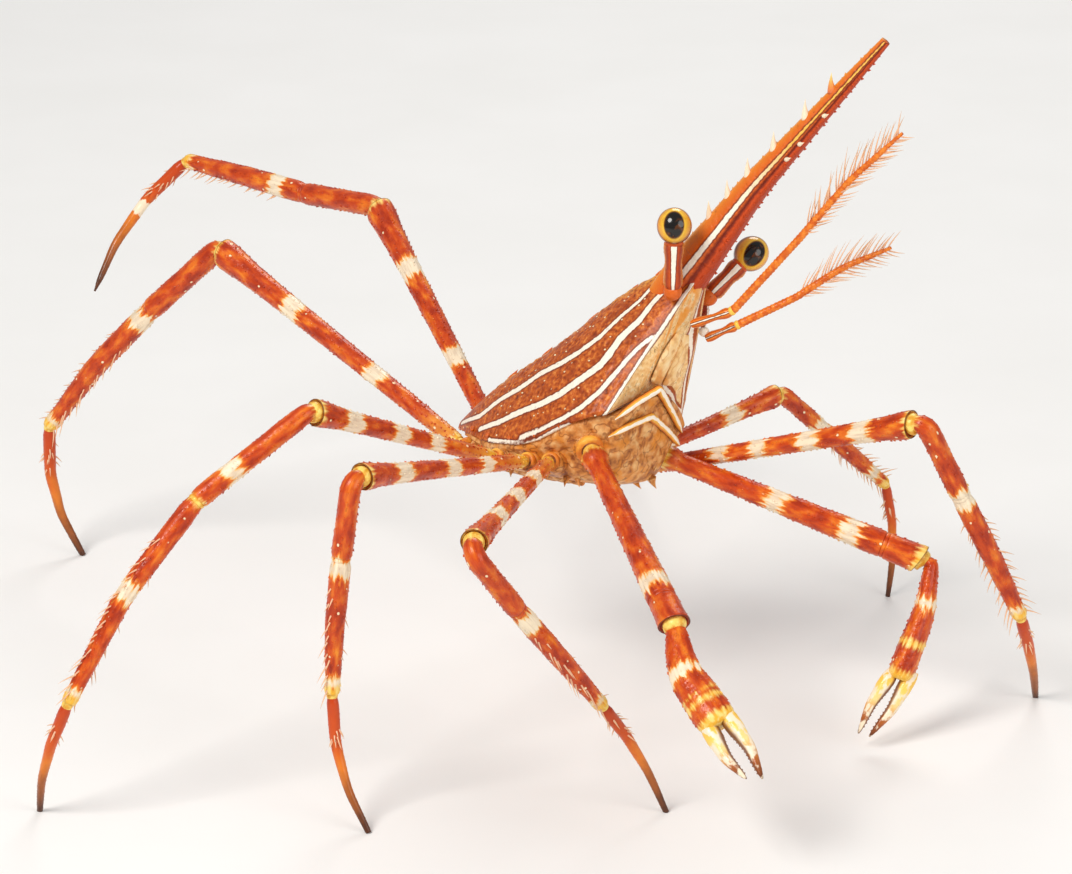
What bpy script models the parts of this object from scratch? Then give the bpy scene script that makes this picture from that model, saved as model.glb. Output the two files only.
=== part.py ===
"""Yellowline arrow crab: a still, life-size model that stands on the tips of its walking legs.

Sizes are millimetres. Places on the body are (along, out, up): along runs from tail to rostrum,
out is positive on the animal's left, up is away from its underside. World places are X right,
Y away, Z up, with the floor at zero. make_node turns millimetres into Blender's metres.
"""

import math
import random
from dataclasses import dataclass

import bmesh
import bpy
from mathutils import Matrix, Vector

MM = 0.001
GAP = 0.3
JOINT_GAP = 0.4
SEED = 41

LEFT, RIGHT = 1, -1
SIDE_NAMES = {LEFT: "left", RIGHT: "right"}

# The body's place: its middle, the way it faces (degrees from +X towards the viewer), how far
# the front is raised and how far the left side hangs lower.
BODY_MIDDLE = Vector((1.5, -9.0, 25.2))
BODY_HEADING = 36
BODY_PITCH = 8
BODY_ROLL = 19

KNEE_BEND = 1.2
SHIN_BEND = 10.0
ARCH_BEND = 20.0
CURL_BEND = 8.0
ANKLE_BEND = 1.6
HIP_BEND = 1.5
# Where a limb's root lies inside the thorax, from its hip.
ROOT_ALONG = 0.92
ROOT_OUT = 2.4
ROOT_SHARE = 0.4
ROOT_LEVEL = -0.7
CARPUS_SHARE = 0.37
FOOT_RADIUS = 0.3
FOOT_RISE = 1.6

ROSTRUM_ROOT = (11.5, 0, 15.1)
ROSTRUM_MIDDLE = (21.3, 0, 27.4)
ROSTRUM_TIP = (34.8, 0, 41.7)
ROSTRUM_BEND = 40
ROSTRUM_CUT = 7.0
ROSTRUM_HALF_WIDTH = 2.25
ROSTRUM_HALF_DEPTH = 2.2

EYE_RADIUS = 1.68
EYE_STRETCH = 1.06
ORBIT_RADIUS = 1.35
STALK_RADIUS = 0.95

SETA_RADIUS = 0.27
SETA_LEAN = 40
SETA_SPACING = 1.35


@dataclass(frozen=True)
class Hoop:
    """One cross-section of the carapace or the thorax, in the body's own millimetres."""

    along: float
    lean: float
    top: float
    half: float
    low_edge: float
    low_middle: float
    round: float


@dataclass(frozen=True)
class Leg:
    """A walking leg: its hip on the body, and the length, yaw and rise of its three lengths.

    The last of them has no rise where the leg stands: its tip is on the floor. bow and arch are how
    far the carpal joint and the middle of the propodus lie outside a straight line, and curl is the
    same for the dactyl.
    """

    number: int
    side: int
    hip: tuple
    merus: tuple
    shin: tuple
    dactyl: tuple
    bow: float
    arch: float
    curl: float
    girth: float

    @property
    def name(self):
        return f"leg{self.number}_{SIDE_NAMES[self.side]}"

    @property
    def raised(self):
        return len(self.dactyl) == 3


@dataclass(frozen=True)
class Cheliped:
    """A claw leg: its hip, its arm, its palm, and the way its two fingers lie apart.

    bow is how far the middle of the palm lies out of a straight line, along spread. hand is the
    girth of the palm and the fingers, girth that of the arm and the wrist.
    """

    side: int
    hip: tuple
    arm: tuple
    palm: tuple
    finger: tuple
    spread: tuple
    bow: float
    girth: float
    hand: float

    @property
    def name(self):
        return f"cheliped_{SIDE_NAMES[self.side]}"


CARAPACE = (
    Hoop(-11.3, 0.00, 2.9, 0.6, 2.0, 2.0, 0.7),
    Hoop(-9.0, 0.00, 4.9, 2.3, 1.7, 1.5, 0.7),
    Hoop(-6.0, 0.00, 7.2, 4.2, 1.2, 0.9, 0.6),
    Hoop(-3.0, 0.00, 9.1, 5.6, 0.9, 0.7, 0.6),
    Hoop(0.0, 0.00, 11.0, 6.5, 0.9, 0.7, 0.6),
    Hoop(3.0, 0.05, 13.5, 7.0, 1.4, 1.2, 0.55),
    Hoop(6.0, 0.15, 16.6, 7.2, 2.6, 2.4, 0.45),
    Hoop(8.4, 0.28, 18.8, 7.1, 3.6, 4.2, 0.35),
    Hoop(10.2, 0.36, 19.6, 6.8, 4.2, 6.0, 0.25),
    Hoop(11.4, 0.40, 19.6, 6.3, 4.5, 7.3, 0.15),
)
LEAN_LEVEL = 6.3
FACE_DOME = 0.3

# The thorax lies under the carapace: along, half width, lowest level, half width of its top.
THORAX = (
    (-9.4, 1.0, 0.3, 1.0),
    (-8.0, 2.0, -0.6, 1.9),
    (-6.0, 3.4, -1.2, 3.2),
    (-3.0, 4.7, -1.6, 4.5),
    (0.0, 5.2, -1.8, 4.9),
    (3.0, 5.2, -2.0, 4.9),
    (6.0, 4.8, -2.2, 4.6),
    (8.0, 4.2, -2.1, 4.4),
    (10.4, 4.2, -1.9, 5.3),
    (12.2, 4.4, -1.6, 5.7),
    (13.0, 3.8, -0.6, 5.6),
)
THORAX_END = 13.0
# Its front slopes back downwards and to both sides, from an apex under the face.
SLOPE_START = 7.0
FRONT_APEX = (12.9, 7.1)
FRONT_SLOPE = 0.3
FRONT_SWEEP = 0.015
# The two chevrons on that front: out, up.
CHEVRONS = (
    ((-5.7, 3.9), (-3.0, 5.6), (0.0, 7.1), (3.0, 5.6), (5.7, 3.9)),
    ((-5.1, 2.6), (-2.6, 3.8), (0.0, 4.9), (2.6, 3.8), (5.1, 2.6)),
)
CHEVRON_RADIUS = 0.45
CHEVRON_STAND = 0.15

# Number, side, hip, merus, shin, dactyl, bow, arch, curl, girth.
LEG_ROWS = (
    (2, RIGHT, (4.9, -6.9, -0.4), (34.6, -102.5, 6.6), (25.2, 38.9, -51), (13.9, 26), -0.2, 0, 0.8, 0.95),
    (3, RIGHT, (1.9, -6.9, -0.6), (30.1, -122.8, 14.3), (22, 163, -84.2), (13.5, -43.4), 0.3, 0.2, 1.2, 0.95),
    (4, RIGHT, (-1.8, -7.1, -0.5), (27.2, -133.3, 24.4), (35.3, -155.4, -45.8), (13.8, 129), 3.2, 1.1, 0.9, 0.95),
    (5, RIGHT, (-8.2, -3.1, 0.1), (39, 134.1, 18.2), (30.6, 156.2, -47.5), (15.1, 10), 0.7, 0.5, 1.3, 1.1),
    (2, LEFT, (4.0, 9.0, -0.4), (33.9, -32.5, 19), (25.1, 27.5, -62.3), (13.4, 70), 0, 0.1, 0.4, 1.0),
    (3, LEFT, (1.9, 7.3, -0.7), (21.6, 34.4, 9.8), (19.8, 38.9, -42.1), (12.9, 54), 0, 0, 0.8, 0.85),
    (4, LEFT, (-1.8, 7.1, -0.4), (27, 66, 20.5), (35, 95, -36), (13.5, 100), 2.5, 0.6, 1.0, 0.95),
    (5, LEFT, (-8.2, 3.1, 0.1), (35.4, 115.1, 28.3), (29.3, 136.4, -2.3), (17.2, -155, -50.5), -0.5, 0.1, 1.7, 1.1),
)
LEGS = tuple(Leg(*row) for row in LEG_ROWS)
# Side, hip, arm, palm, finger, spread, bow, girth, hand.
CLAW_ROWS = (
    (RIGHT, (8.0, -5.2, 1.6), (27.6, -72.3, -19), (11, -63.7, -35.9), (6.6, -56, -32), (9, 23), -1.1, 1.0, 1.0),
    (LEFT, (8.2, 4.9, 1.5), (29.8, -14.1, -18.2), (11.7, -127, -62), (6.4, -146, -50), (-6, -16), 0.6, 0.94, 0.88),
)
CHELIPEDS = tuple(Cheliped(*row) for row in CLAW_ROWS)

# Radii of each article at a share of its length.
MERUS = ((0.0, 0.62), (0.03, 0.74), (0.4, 0.9), (0.75, 1.06), (0.93, 1.28), (0.975, 1.32), (1.0, 1.15))
CARPUS = ((0.0, 0.95), (0.1, 1.06), (0.45, 1.02), (0.85, 1.05), (1.0, 0.95))
PROPODUS = ((0.0, 0.92), (0.06, 1.04), (0.35, 1.02), (0.7, 0.9), (0.93, 0.78), (1.0, 0.66))
DACTYL = ((0.0, 0.5), (0.06, 0.62), (0.35, 0.56), (0.65, 0.44))
ARM = ((0.0, 0.95), (0.02, 1.25), (0.05, 1.3), (0.1, 1.0), (0.4, 1.12), (0.8, 1.32), (0.96, 1.45), (1.0, 1.3))
WRIST = ((0.0, 1.3), (0.2, 1.45), (0.8, 1.4), (1.0, 1.15))
ARM_SHARE = 0.86
PALM = ((0.0, 0.8), (0.06, 1.0), (0.3, 1.4), (0.6, 1.8), (0.85, 1.9), (0.96, 1.8), (1.0, 1.5))
PALM_FLATNESS = 0.78
PALM_BOW_AT = 0.4
PALM_BEND = 9.0
FINGER = ((0.0, 0.8), (0.25, 0.86), (0.5, 0.72), (0.8, 0.44), (1.0, 0.18))
FINGER_OFFSET = 1.02
FINGER_BULGE = 0.02
FINGER_TIP_OFFSET = 0.7
FINGER_SUNK = 1.3
# The antennae's two lengths, the eye stalks and the coxae.
ANTENNA_BASE = ((0.0, 0.9), (0.15, 1.15), (0.6, 0.85), (0.9, 1.25), (1.0, 1.0))
ANTENNA_WHIP = ((0.0, 1.0), (0.06, 0.95), (0.5, 0.85), (0.85, 0.68), (1.0, 0.35))
ANTENNA_RADIUS = 0.42
STALK = ((0.0, 0.8), (0.12, 1.0), (0.6, 0.88), (0.9, 1.05), (1.0, 1.0))
LEG_COXA = ((0.0, 0.85), (0.7, 0.85), (1.0, 0.72))
CLAW_COXA = ((0.0, 1.1), (0.6, 1.15), (1.0, 0.95))
RAISED_TIP = ((0.9, 0.3), (1.0, 0.14))

# Bristles on the propodus and spines elsewhere.
BRISTLED_SHARE = 0.22
BRISTLED_RADII = ((0.0, 1.02), (0.6, 0.88), (1.0, 0.74))
# Rows of spines up the rostrum: side, lift in degrees, length, places along it.
ROSTRUM_SPINES = (
    (RIGHT, 32, 1.5, (10.7, 13.5, 16.4, 20.1, 24.6, 28.3)),
    (LEFT, 12, 0.9, (11.6, 15.7, 17.6, 21.2, 25.2)),
)
ROSTRUM_SIDES = 12
ROSTRUM_KEEL = 0.16
ROSTRUM_SPINE_RADIUS = 0.42
ROSTRUM_SPINE_LEAN = 0.8
RIDGE_SPINES = (-5.6, -1.6, 3.2, 8.0)
EDGE_SPINES = (-7.6, -4.4, -0.8, 2.6, 5.6)
BELLY_SPINES = (-3.4, -0.4, 2.6, 5.6, 8.4, 11.4)
# The tail flap: along, half width.
ABDOMEN = ((-7.6, 1), (-6.4, 1.7), (-4.6, 2.1), (-2.6, 2.2), (-0.6, 2.1), (1.4, 1.8), (3.2, 1.2), (4, 0.6))
ABDOMEN_THICKNESS = 0.5
ABDOMEN_STEP = 0.12
# The mouth plates: level, half width, half thickness.
MOUTH_PLATE = ((7.9, 0.7, 0.35), (8.4, 0.95, 0.5), (10.2, 0.95, 0.55), (12.0, 0.7, 0.5), (12.9, 0.45, 0.3))

COLOURS = {
    "carapace": (0.62, 0.22, 0.06),
    "limb": (0.70, 0.13, 0.03),
    "belly": (0.48, 0.26, 0.12),
    "mouth": (0.72, 0.52, 0.30),
    "eye": (0.80, 0.42, 0.04),
    "claw": (0.80, 0.45, 0.10),
    "tip": (0.42, 0.17, 0.06),
}


def heading(yaw, rise):
    """The unit vector at a yaw about Z and a rise above the floor, in degrees."""
    flat = math.cos(math.radians(rise))
    turn = math.radians(yaw)
    return Vector((math.cos(turn) * flat, math.sin(turn) * flat, math.sin(math.radians(rise))))


def body_frame():
    """The matrix from the body's own millimetres to world millimetres."""
    turn, pitch, roll = (math.radians(a) for a in (BODY_HEADING, BODY_PITCH, BODY_ROLL))
    along = Vector((math.cos(turn) * math.cos(pitch), -math.sin(turn) * math.cos(pitch), math.sin(pitch)))
    level = Vector((math.sin(turn), math.cos(turn), 0))
    upright = along.cross(level)
    out = level * math.cos(roll) - upright * math.sin(roll)
    up = upright * math.cos(roll) + level * math.sin(roll)
    frame = Matrix((along, out, up)).transposed().to_4x4()
    frame.translation = BODY_MIDDLE
    return frame


BODY = body_frame()


def on_body(place):
    return BODY @ Vector(place)


def along_body(direction):
    return (BODY.to_3x3() @ Vector(direction)).normalized()


def perpendicular(vector, axis):
    """The part of a vector at right angles to an axis, as a unit vector."""
    return (vector - axis * vector.dot(axis)).normalized()


def mixed(rows, position):
    """Rows of numbers led by their position, read between the two nearest ones."""
    for before, after in zip(rows, rows[1:]):
        if position <= after[0]:
            share = max(0.0, (position - before[0]) / (after[0] - before[0]))
            return [a + (b - a) * share for a, b in zip(before, after)]
    return list(rows[-1])


class Path:
    """A line through corners, each rounded by its own radius, with a frame carried along it."""

    STEP_ANGLE = math.radians(22)

    def __init__(self, corners, radii, side):
        self.points = [corners[0]]
        self.corners_at = []
        for i, radius in enumerate(radii, start=1):
            self.add_corner(corners[i - 1], corners[i], corners[i + 1], radius)
        self.points.append(corners[-1])
        self.places = [0.0]
        for a, b in zip(self.points, self.points[1:]):
            self.places.append(self.places[-1] + (b - a).length)
        self.length = self.places[-1]
        self.carry_normals(side)

    def add_corner(self, before, corner, after, radius):
        first = (corner - before).normalized()
        second = (after - corner).normalized()
        angle = first.angle(second)
        if angle < math.radians(2):
            self.points.append(corner)
            self.corners_at.append((len(self.points) - 1,) * 2)
            return
        room = 0.45 * min((corner - before).length, (after - corner).length)
        radius = min(radius, room / math.tan(angle / 2))
        start = corner - first * radius * math.tan(angle / 2)
        inward = perpendicular(second, first)
        steps = max(2, math.ceil(angle / self.STEP_ANGLE))
        opened = len(self.points)
        for i in range(steps + 1):
            turn = angle * i / steps
            self.points.append(start + (first * math.sin(turn) + inward * (1 - math.cos(turn))) * radius)
        self.corners_at.append((opened, len(self.points) - 1))

    def carry_normals(self, side):
        self.normals = []
        normal = side
        for i in range(len(self.points)):
            normal = perpendicular(normal, self.tangent(self.places[i]))
            self.normals.append(normal)

    def point(self, place):
        place = min(max(place, 0.0), self.length)
        for i, (a, b) in enumerate(zip(self.places, self.places[1:])):
            if place <= b:
                return self.points[i].lerp(self.points[i + 1], (place - a) / max(b - a, 1e-9))
        return self.points[-1]

    def tangent(self, place):
        reach = 0.12
        return (self.point(place + reach) - self.point(place - reach)).normalized()

    def frame(self, place):
        """Point, tangent and normal at a distance along the path."""
        tangent = self.tangent(place)
        nearest = max(i for i, at in enumerate(self.places) if at <= place + 1e-6)
        return self.point(place), tangent, perpendicular(self.normals[nearest], tangent)

    def corner_span(self, index):
        """The distances at which a rounded corner starts and ends."""
        start, end = self.corners_at[index]
        return self.places[start], self.places[end]

    def bends_within(self, start, end):
        return [at for at in self.places if start + 0.25 < at < end - 0.25]


def loft(rings):
    """A closed mesh through rings of equal count, with flat ends."""
    count = len(rings[0])
    verts = [point for ring in rings for point in ring]
    faces = [tuple(range(count))[::-1], tuple(range(len(verts) - count, len(verts)))]
    for r in range(len(rings) - 1):
        low, high = r * count, (r + 1) * count
        for i in range(count):
            j = (i + 1) % count
            faces.append((low + i, low + j, high + j, high + i))
    return verts, faces


def ring(centre, tangent, normal, wide, deep, sides):
    across = tangent.cross(normal)
    turns = (2 * math.pi * i / sides for i in range(sides))
    return [centre + normal * deep * math.cos(a) + across * wide * math.sin(a) for a in turns]


def tube(path, start, end, profile, girth=1.0, depth=1.0, sides=10):
    """A length of a path with the radii of a profile, and a hoop wherever the path bends."""
    places = {start + share * (end - start) for share, _ in profile}
    for bend in path.bends_within(start, end):
        if all(abs(bend - place) > 0.35 for place in places):
            places.add(bend)
    rings = []
    for place in sorted(places):
        radius = mixed(profile, (place - start) / (end - start))[1] * girth
        rings.append(ring(*path.frame(place), radius, radius * depth, sides))
    return loft(rings)


def foot_tube(path, start, profile, girth):
    """The last length of a leg, ending in a small flat on the floor."""
    end = path.length
    rings = []
    for share, radius in (*profile, (1 - FOOT_RISE / (end - start), FOOT_RADIUS + 0.06)):
        rings.append(ring(*path.frame(start + share * (end - start)), radius * girth, radius * girth, 8))
    down = Vector((0, 0, -1))
    normal = perpendicular(path.frame(end)[2], down)
    tip = path.point(end)
    rings.append(ring(Vector((tip.x, tip.y, 0)), down, normal, FOOT_RADIUS, FOOT_RADIUS, 8))
    return loft(rings)


def ball(centre, radius, up, stretch, sides, rows):
    """A closed ball of flat facets, stretched along its own axis."""
    side = perpendicular(Vector((0.6, 0.5, 0.4)), up)
    rings = []
    for i in range(rows):
        turn = math.pi * (i + 0.35) / (rows - 0.3)
        reach = radius * math.sin(turn)
        rings.append(ring(centre - up * radius * stretch * math.cos(turn), up, side, reach, reach, sides))
    return loft(rings)


def spine(root, direction, length, radius, sunk=0.5, sides=5):
    """A cone whose foot is sunk below the surface that it grows from."""
    start = root - direction * sunk
    side = perpendicular(Vector((0.31, 0.52, 0.79)), direction)
    verts = ring(start, direction, side, radius, radius, sides)
    verts.append(root + direction * length)
    faces = [tuple(range(sides))[::-1]]
    faces += [(i, (i + 1) % sides, sides) for i in range(sides)]
    return verts, faces


def mesh_object(name, piece):
    verts, faces = piece
    mesh = bpy.data.meshes.new(name)
    mesh.from_pydata([v * MM for v in verts], [], faces)
    mesh.validate()
    obj = bpy.data.objects.new(name, mesh)
    return obj


def largest_island(bm):
    """The faces of the biggest connected surface."""
    left = set(bm.faces)
    best = set()
    while left:
        seed = left.pop()
        island, edge = {seed}, [seed]
        while edge:
            face = edge.pop()
            for link in (other for e in face.edges for other in e.link_faces):
                if link in left:
                    left.discard(link)
                    island.add(link)
                    edge.append(link)
        if len(island) > len(best):
            best = island
    return best


def fuse(obj, pieces):
    """Joins closed pieces to an object by one Boolean union and keeps its largest surface."""
    helpers = bpy.data.collections.new(obj.name + "_pieces")
    bpy.context.scene.collection.children.link(helpers)
    for i, piece in enumerate(pieces):
        helpers.objects.link(mesh_object(f"{obj.name}_piece{i}", piece))
    union = obj.modifiers.new("fuse", "BOOLEAN")
    union.operation = "UNION"
    union.solver = "MANIFOLD"
    union.operand_type = "COLLECTION"
    union.collection = helpers
    bpy.context.view_layer.update()
    graph = bpy.context.evaluated_depsgraph_get()
    fused = bpy.data.meshes.new_from_object(obj.evaluated_get(graph))
    obj.modifiers.clear()
    for helper in list(helpers.objects):
        bpy.data.meshes.remove(helper.data)
    bpy.data.collections.remove(helpers)
    bm = bmesh.new()
    bm.from_mesh(fused)
    keep = largest_island(bm)
    bmesh.ops.delete(bm, geom=[f for f in bm.faces if f not in keep], context="FACES")
    bm.to_mesh(fused)
    bm.free()
    obj.data = fused


def material(kind):
    """The plain finish of one kind of piece."""
    if kind in bpy.data.materials:
        return bpy.data.materials[kind]
    made = bpy.data.materials.new(kind)
    made.use_nodes = True
    shader = made.node_tree.nodes["Principled BSDF"]
    shader.inputs["Base Color"].default_value = (*COLOURS[kind], 1)
    shader.inputs["Roughness"].default_value = 0.2 if kind == "eye" else 0.45
    shader.inputs["Metallic"].default_value = 0.0
    return made


def make_node(name, pieces, kind):
    """One named object from closed pieces, the first of which the others are fused to."""
    obj = mesh_object(name, pieces[0])
    bpy.context.scene.collection.objects.link(obj)
    if len(pieces) > 1:
        fuse(obj, pieces[1:])
    obj.data.materials.clear()
    obj.data.materials.append(material(kind))
    obj.data.shade_smooth()
    obj.data.set_sharp_from_angle(angle=math.radians(50))
    return obj


def hoop_at(along):
    """The carapace's hoop at a distance along the body, read between the named ones."""
    rows = [(h.along, h.lean, h.top, h.half, h.low_edge, h.low_middle, h.round) for h in CARAPACE]
    return Hoop(*mixed(rows, along))


def carapace_point(hoop, out_share, level):
    """A point of the hoop's own plane, which leans forward with height."""
    return on_body((hoop.along + hoop.lean * (level - LEAN_LEVEL), hoop.half * out_share, level))


def flank(hoop, height_share):
    """Half width at a share of the height: between a straight side and a quarter round."""
    straight = 1 - height_share
    full = math.sqrt(max(0.0, 1 - height_share**2))
    return straight + (full - straight) * hoop.round


def carapace_ring(hoop, inset=1.0):
    """One closed hoop, from the ridge down the right side, under, and up the left side."""
    shares = (0.97, 0.88, 0.76, 0.62, 0.47, 0.32, 0.17, 0.06)
    right = []
    for share in shares:
        level = hoop.low_edge + (hoop.top - hoop.low_edge) * share
        right.append((flank(hoop, share), level))
    right += [(0.99, hoop.low_edge), (0.55, (hoop.low_edge + hoop.low_middle) / 2)]
    middle = (hoop.top + hoop.low_edge) / 2
    points = [(0.0, hoop.top)]
    points += [(-out, level) for out, level in right]
    points.append((0.0, hoop.low_middle))
    points += [(out, level) for out, level in reversed(right)]
    return [carapace_point(hoop, out * inset, middle + (level - middle) * inset) for out, level in points]


def rostrum_path():
    corners = [on_body(p) for p in (ROSTRUM_ROOT, ROSTRUM_MIDDLE, ROSTRUM_TIP)]
    return Path(corners, [ROSTRUM_BEND], along_body((-0.75, 0, 0.66)))


def rostrum_profile(path):
    """Half width and half depth against distance: quick at the root, then straight to a point."""
    return (
        (0.0, ROSTRUM_HALF_WIDTH * 0.9, ROSTRUM_HALF_DEPTH * 0.9),
        (4.5, ROSTRUM_HALF_WIDTH, ROSTRUM_HALF_DEPTH),
        (9.0, 1.95, 1.85),
        (16.0, 1.45, 1.4),
        (25.0, 1.0, 0.95),
        (path.length - 1.5, 0.42, 0.4),
        (path.length, 0.14, 0.14),
    )


def rostrum_length(path, start, end):
    rows = rostrum_profile(path)
    places = sorted({start, end} | {row[0] for row in rows if start < row[0] < end})
    rings = []
    for place in places:
        _, wide, deep = mixed(rows, place)
        frame = path.frame(place)
        hoop = ring(*frame, wide, deep, ROSTRUM_SIDES)
        hoop[0] += frame[2] * deep * ROSTRUM_KEEL
        rings.append(hoop)
    return loft(rings)


def rostrum_spines(path):
    """A row of spines up each side: larger along the right edge, small and low on the left."""
    pieces = []
    for side, lift, length, places in ROSTRUM_SPINES:
        for place in places:
            centre, tangent, normal = path.frame(place)
            across = tangent.cross(normal)
            outward = across if across.dot(along_body((0, 1, 0))) * side > 0 else -across
            _, wide, deep = mixed(rostrum_profile(path), place)
            flat, rise = math.cos(math.radians(lift)), math.sin(math.radians(lift))
            root = centre + outward * wide * flat + normal * deep * rise
            way = outward * flat + normal * rise + tangent * ROSTRUM_SPINE_LEAN
            pieces.append(spine(root, way.normalized(), length, ROSTRUM_SPINE_RADIUS, sunk=0.35))
    return pieces


def orbit(side):
    """The knob under an eye stalk: the stalk's root, on the body."""
    return (14.7, 2.6 * side, 16.2)


EYES = {RIGHT: (16.3, -5.6, 23.0), LEFT: (17.8, 5.6, 21.3)}


def build_carapace():
    rings = [carapace_ring(hoop) for hoop in CARAPACE]
    front = CARAPACE[-1]
    domed = [p + along_body((1, 0, 0)) * FACE_DOME for p in carapace_ring(front, 0.55)]
    path = rostrum_path()
    pieces = [loft([*rings, domed]), rostrum_length(path, 0.0, ROSTRUM_CUT)]
    for side in (RIGHT, LEFT):
        pieces.append(ball(on_body(orbit(side)), ORBIT_RADIUS, along_body((0.2, 0.2 * side, 1)), 1.0, 10, 6))
    pieces += carapace_spines()
    make_node("carapace", pieces, "carapace")
    spines = rostrum_spines(path)
    make_node("rostrum", [rostrum_length(path, ROSTRUM_CUT + GAP, path.length), *spines], "carapace")


def carapace_spines():
    """Low spines along the ridge of the back and along each lower edge."""
    pieces = []
    for along in RIDGE_SPINES:
        hoop = hoop_at(along)
        root = carapace_point(hoop, 0, hoop.top - 0.1)
        pieces.append(spine(root, along_body((0.45, 0, 1)), 0.9, 0.5))
    for side in (RIGHT, LEFT):
        for along in EDGE_SPINES:
            hoop = hoop_at(along)
            level = hoop.low_edge + 0.9
            root = carapace_point(hoop, 0.97 * side, level)
            pieces.append(spine(root, along_body((0.5, side, 0.1)), 0.7, 0.42))
    return pieces


def front_at(out, level):
    """How far along the body the thorax's front lies at a place on it."""
    apex, apex_level = FRONT_APEX
    return apex - FRONT_SLOPE * (apex_level - level) - FRONT_SWEEP * out**2


def sloped(along, out, level):
    """A place on the thorax, drawn back so that its end lies on the sloping front."""
    if along > SLOPE_START:
        share = (along - SLOPE_START) / (THORAX_END - SLOPE_START)
        along = SLOPE_START + share * (front_at(out, level) - SLOPE_START)
    return along, out, level


def thorax_rings():
    rings = []
    for along, half, low, top_half in THORAX:
        hoop = hoop_at(along)
        slope = (hoop.low_edge - hoop.low_middle) / hoop.half
        edge = hoop.low_middle + slope * top_half
        inset = GAP + 0.25
        half_section = (
            (0.5 * top_half, (hoop.low_middle + edge) / 2 - inset),
            (0.95 * top_half, edge - inset - 0.25),
            (half, (edge - inset + low) / 2 + 0.3),
            (0.9 * half, low + 0.7),
            (0.55 * half, low + 0.15),
        )
        section = [(0.0, hoop.low_middle - inset)]
        section += [(-out, level) for out, level in half_section]
        section.append((0.0, low))
        section += list(reversed(half_section))
        rings.append([on_body(sloped(along, out, level)) for out, level in section])
    return rings


def chevron(points):
    corners = [on_body((front_at(out, level) + CHEVRON_STAND, out, level)) for out, level in points]
    path = Path(corners, [1.0] * (len(corners) - 2), along_body((1, 0, 0)))
    profile = ((0.0, 0.22), (0.12, 0.9), (0.5, 1.0), (0.88, 0.9), (1.0, 0.22))
    return tube(path, 0.0, path.length, profile, girth=CHEVRON_RADIUS, sides=7)


def belly_spines():
    """Blunt tubercles under the thorax, in two rows a side."""
    draw = random.Random(SEED)
    pieces = []
    for along in BELLY_SPINES:
        _, half, low, _ = mixed(THORAX, along)
        for side in (RIGHT, LEFT):
            root = on_body(sloped(along, side * half * draw.uniform(0.72, 0.8), low + 0.45))
            way = along_body((draw.uniform(-0.3, 0.5), 0.5 * side, -1))
            pieces.append(spine(root, way, draw.uniform(0.7, 1.1), 0.55))
    return pieces


def limb_path(leg, hip, corners, radii):
    """A limb from its root inside the thorax, with its outer side found from its knee."""
    out = math.copysign(min(ROOT_OUT, abs(leg.hip[1]) * ROOT_SHARE), leg.side)
    root = on_body((leg.hip[0] * ROOT_ALONG, out, ROOT_LEVEL))
    merus = (corners[0] - hip).normalized()
    shin = (corners[1] - corners[0]).normalized()
    outer = -perpendicular(shin, merus)
    return Path([root, hip, *corners], [HIP_BEND, *radii], perpendicular(outer, (hip - root).normalized()))


def leg_path(leg):
    """The whole middle line of a walking leg, from thorax to tip."""
    hip = on_body(leg.hip)
    knee = hip + heading(*leg.merus[1:]) * leg.merus[0]
    shin = heading(*leg.shin[1:])
    ankle = knee + shin * leg.shin[0]
    outer = heading(leg.shin[1], leg.shin[2] + 90)
    joint = knee.lerp(ankle, CARPUS_SHARE) + outer * leg.bow
    arch = joint.lerp(ankle, 0.5) + outer * leg.arch
    if leg.raised:
        tip = ankle + heading(*leg.dactyl[1:]) * leg.dactyl[0]
    else:
        reach = math.sqrt(leg.dactyl[0] ** 2 - ankle.z**2)
        tip = Vector((ankle.x, ankle.y, 0)) + heading(leg.dactyl[1], 0) * reach
    curl = perpendicular(shin, (tip - ankle).normalized())
    third = ankle.lerp(tip, 0.35) + curl * leg.curl
    two_thirds = ankle.lerp(tip, 0.68) + curl * leg.curl
    corners = [knee, joint, arch, ankle, third, two_thirds, tip]
    return limb_path(leg, hip, corners, [KNEE_BEND, SHIN_BEND, ARCH_BEND, ANKLE_BEND, CURL_BEND, CURL_BEND])


def setae(path, start, end, profile, girth, seed, ways):
    """Two rows of bristles on a length of a leg, lying towards its tip."""
    draw = random.Random(seed)
    lean = math.radians(SETA_LEAN)
    pieces = []
    for way in ways:
        place = start + (0.25 if way == 1 else 0.75) * SETA_SPACING
        while place < end:
            centre, tangent, normal = path.frame(place)
            radius = mixed(profile, (place - start) / (end - start))[1] * girth
            lying = lean + math.radians(draw.uniform(-6, 8))
            direction = tangent * math.cos(lying) + normal * way * math.sin(lying)
            root = centre + normal * way * radius * 0.8
            pieces.append(spine(root, direction, draw.uniform(1.1, 2.1), SETA_RADIUS, sunk=0.3, sides=4))
            place += SETA_SPACING * draw.uniform(0.85, 1.2)
    return pieces


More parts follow.
